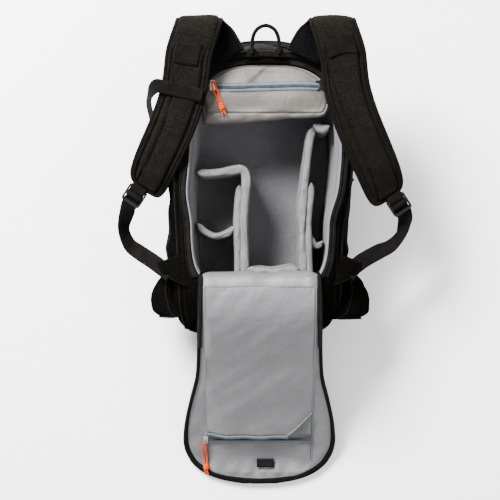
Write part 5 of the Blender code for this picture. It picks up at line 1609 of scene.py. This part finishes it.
def dress_cad_nodes():
    """The hard nodes keep their shapes and get their real finishes."""
    for look, nodes in HARD_PIECES.items():
        for node in nodes:
            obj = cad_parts[node]
            obj = bpy.data.objects[obj] if isinstance(obj, str) else obj
            if not obj.material_slots:
                obj.data.materials.append(LOOKS[look])
            for held in obj.material_slots:
                held.material = LOOKS[look]


def make_room():
    """A pale floor under soft studio light."""
    bpy.ops.object.select_all(action="DESELECT")
    bpy.ops.mesh.primitive_plane_add(size=8, location=(0, 0, -0.0005))
    floor = bpy.context.object
    floor.name = "studio_floor"
    made, tree, shader = blank("painted_floor_white", 0.8, specular=0.2)
    shader.inputs["Base Color"].default_value = (0.95, 0.95, 0.95, 1)
    floor.data.materials.append(made)
    world = bpy.data.worlds.new("studio") if bpy.context.scene.world is None else bpy.context.scene.world
    bpy.context.scene.world = world
    world.use_nodes = True
    back = world.node_tree.nodes["Background"]
    back.inputs["Color"].default_value = (1, 1, 1, 1)
    back.inputs["Strength"].default_value = SKY_STRENGTH
    for name, place, size, power in LAMPS:
        data = bpy.data.lights.new(name, "AREA")
        data.energy = power
        data.size = size
        lamp = bpy.data.objects.new(name, data)
        lamp.location = place
        lamp.rotation_euler = (Vector((0, -0.1, 0)) - Vector(place)).to_track_quat("-Z", "Y").to_euler()
        bpy.context.scene.collection.objects.link(lamp)


def lid_place():
    """From a spot beside the lid's slider to the room."""
    centre, y, reach = lid_zip_middle()
    x = centre - reach - SLIDER_WIDTH / 2 - SEAM_GAP
    return lambda a, b, c: np.array([x + a, y + b, LID_TOP + SEAM_GAP + c])


def door_place(door):
    """The same for the slider on the door's pocket."""
    x = -POCKET_WIDTH / 2 - SLIDER_WIDTH / 2 - SEAM_GAP
    s = POCKET_MOUTH * door.length + 1.3 * ZIP_TAPE
    up = FLAP_PAD + SEAM_GAP + THIN_CLOTH + SEAM_GAP
    return lambda a, b, c: door.spot(x + a, s - b, up + c)


door = Door()
make_pull("lid", lid_place(), LID_CORD_ROUTE)
make_pull("flap", door_place(door), FLAP_CORD_ROUTE)
body = make_body()
body_tree = tree_of(body)
make_piping(body)
make_front()
make_lining()
make_rim()
make_yoke()
make_door(door)
make_door_edge(door)
make_door_pocket(door)
make_lid_zip(make_lid())
make_dividers()
straps = {"left": Strap(-1), "right": Strap(1)}
for tag, strap in straps.items():
    make_strap(strap, tag)
    make_adjuster(strap, tag)
    make_wing(body_tree, strap.side, tag)
    make_side_pocket(body_tree, strap.side, tag)
    make_side_tab(body_tree, strap.side, tag)
strap_patch(straps["left"], "strap_patch_left", (0.42, 0.52), (-0.55, 0.72), 0.0, "webbing")
strap_patch(straps["right"], "strap_patch_right", (0.38, 0.49), (-0.70, 0.74), -0.012, "webbing")
make_chest_pieces(straps["left"], straps["right"])
make_handle()
make_dome(body_tree)
dress_cad_nodes()
make_room()
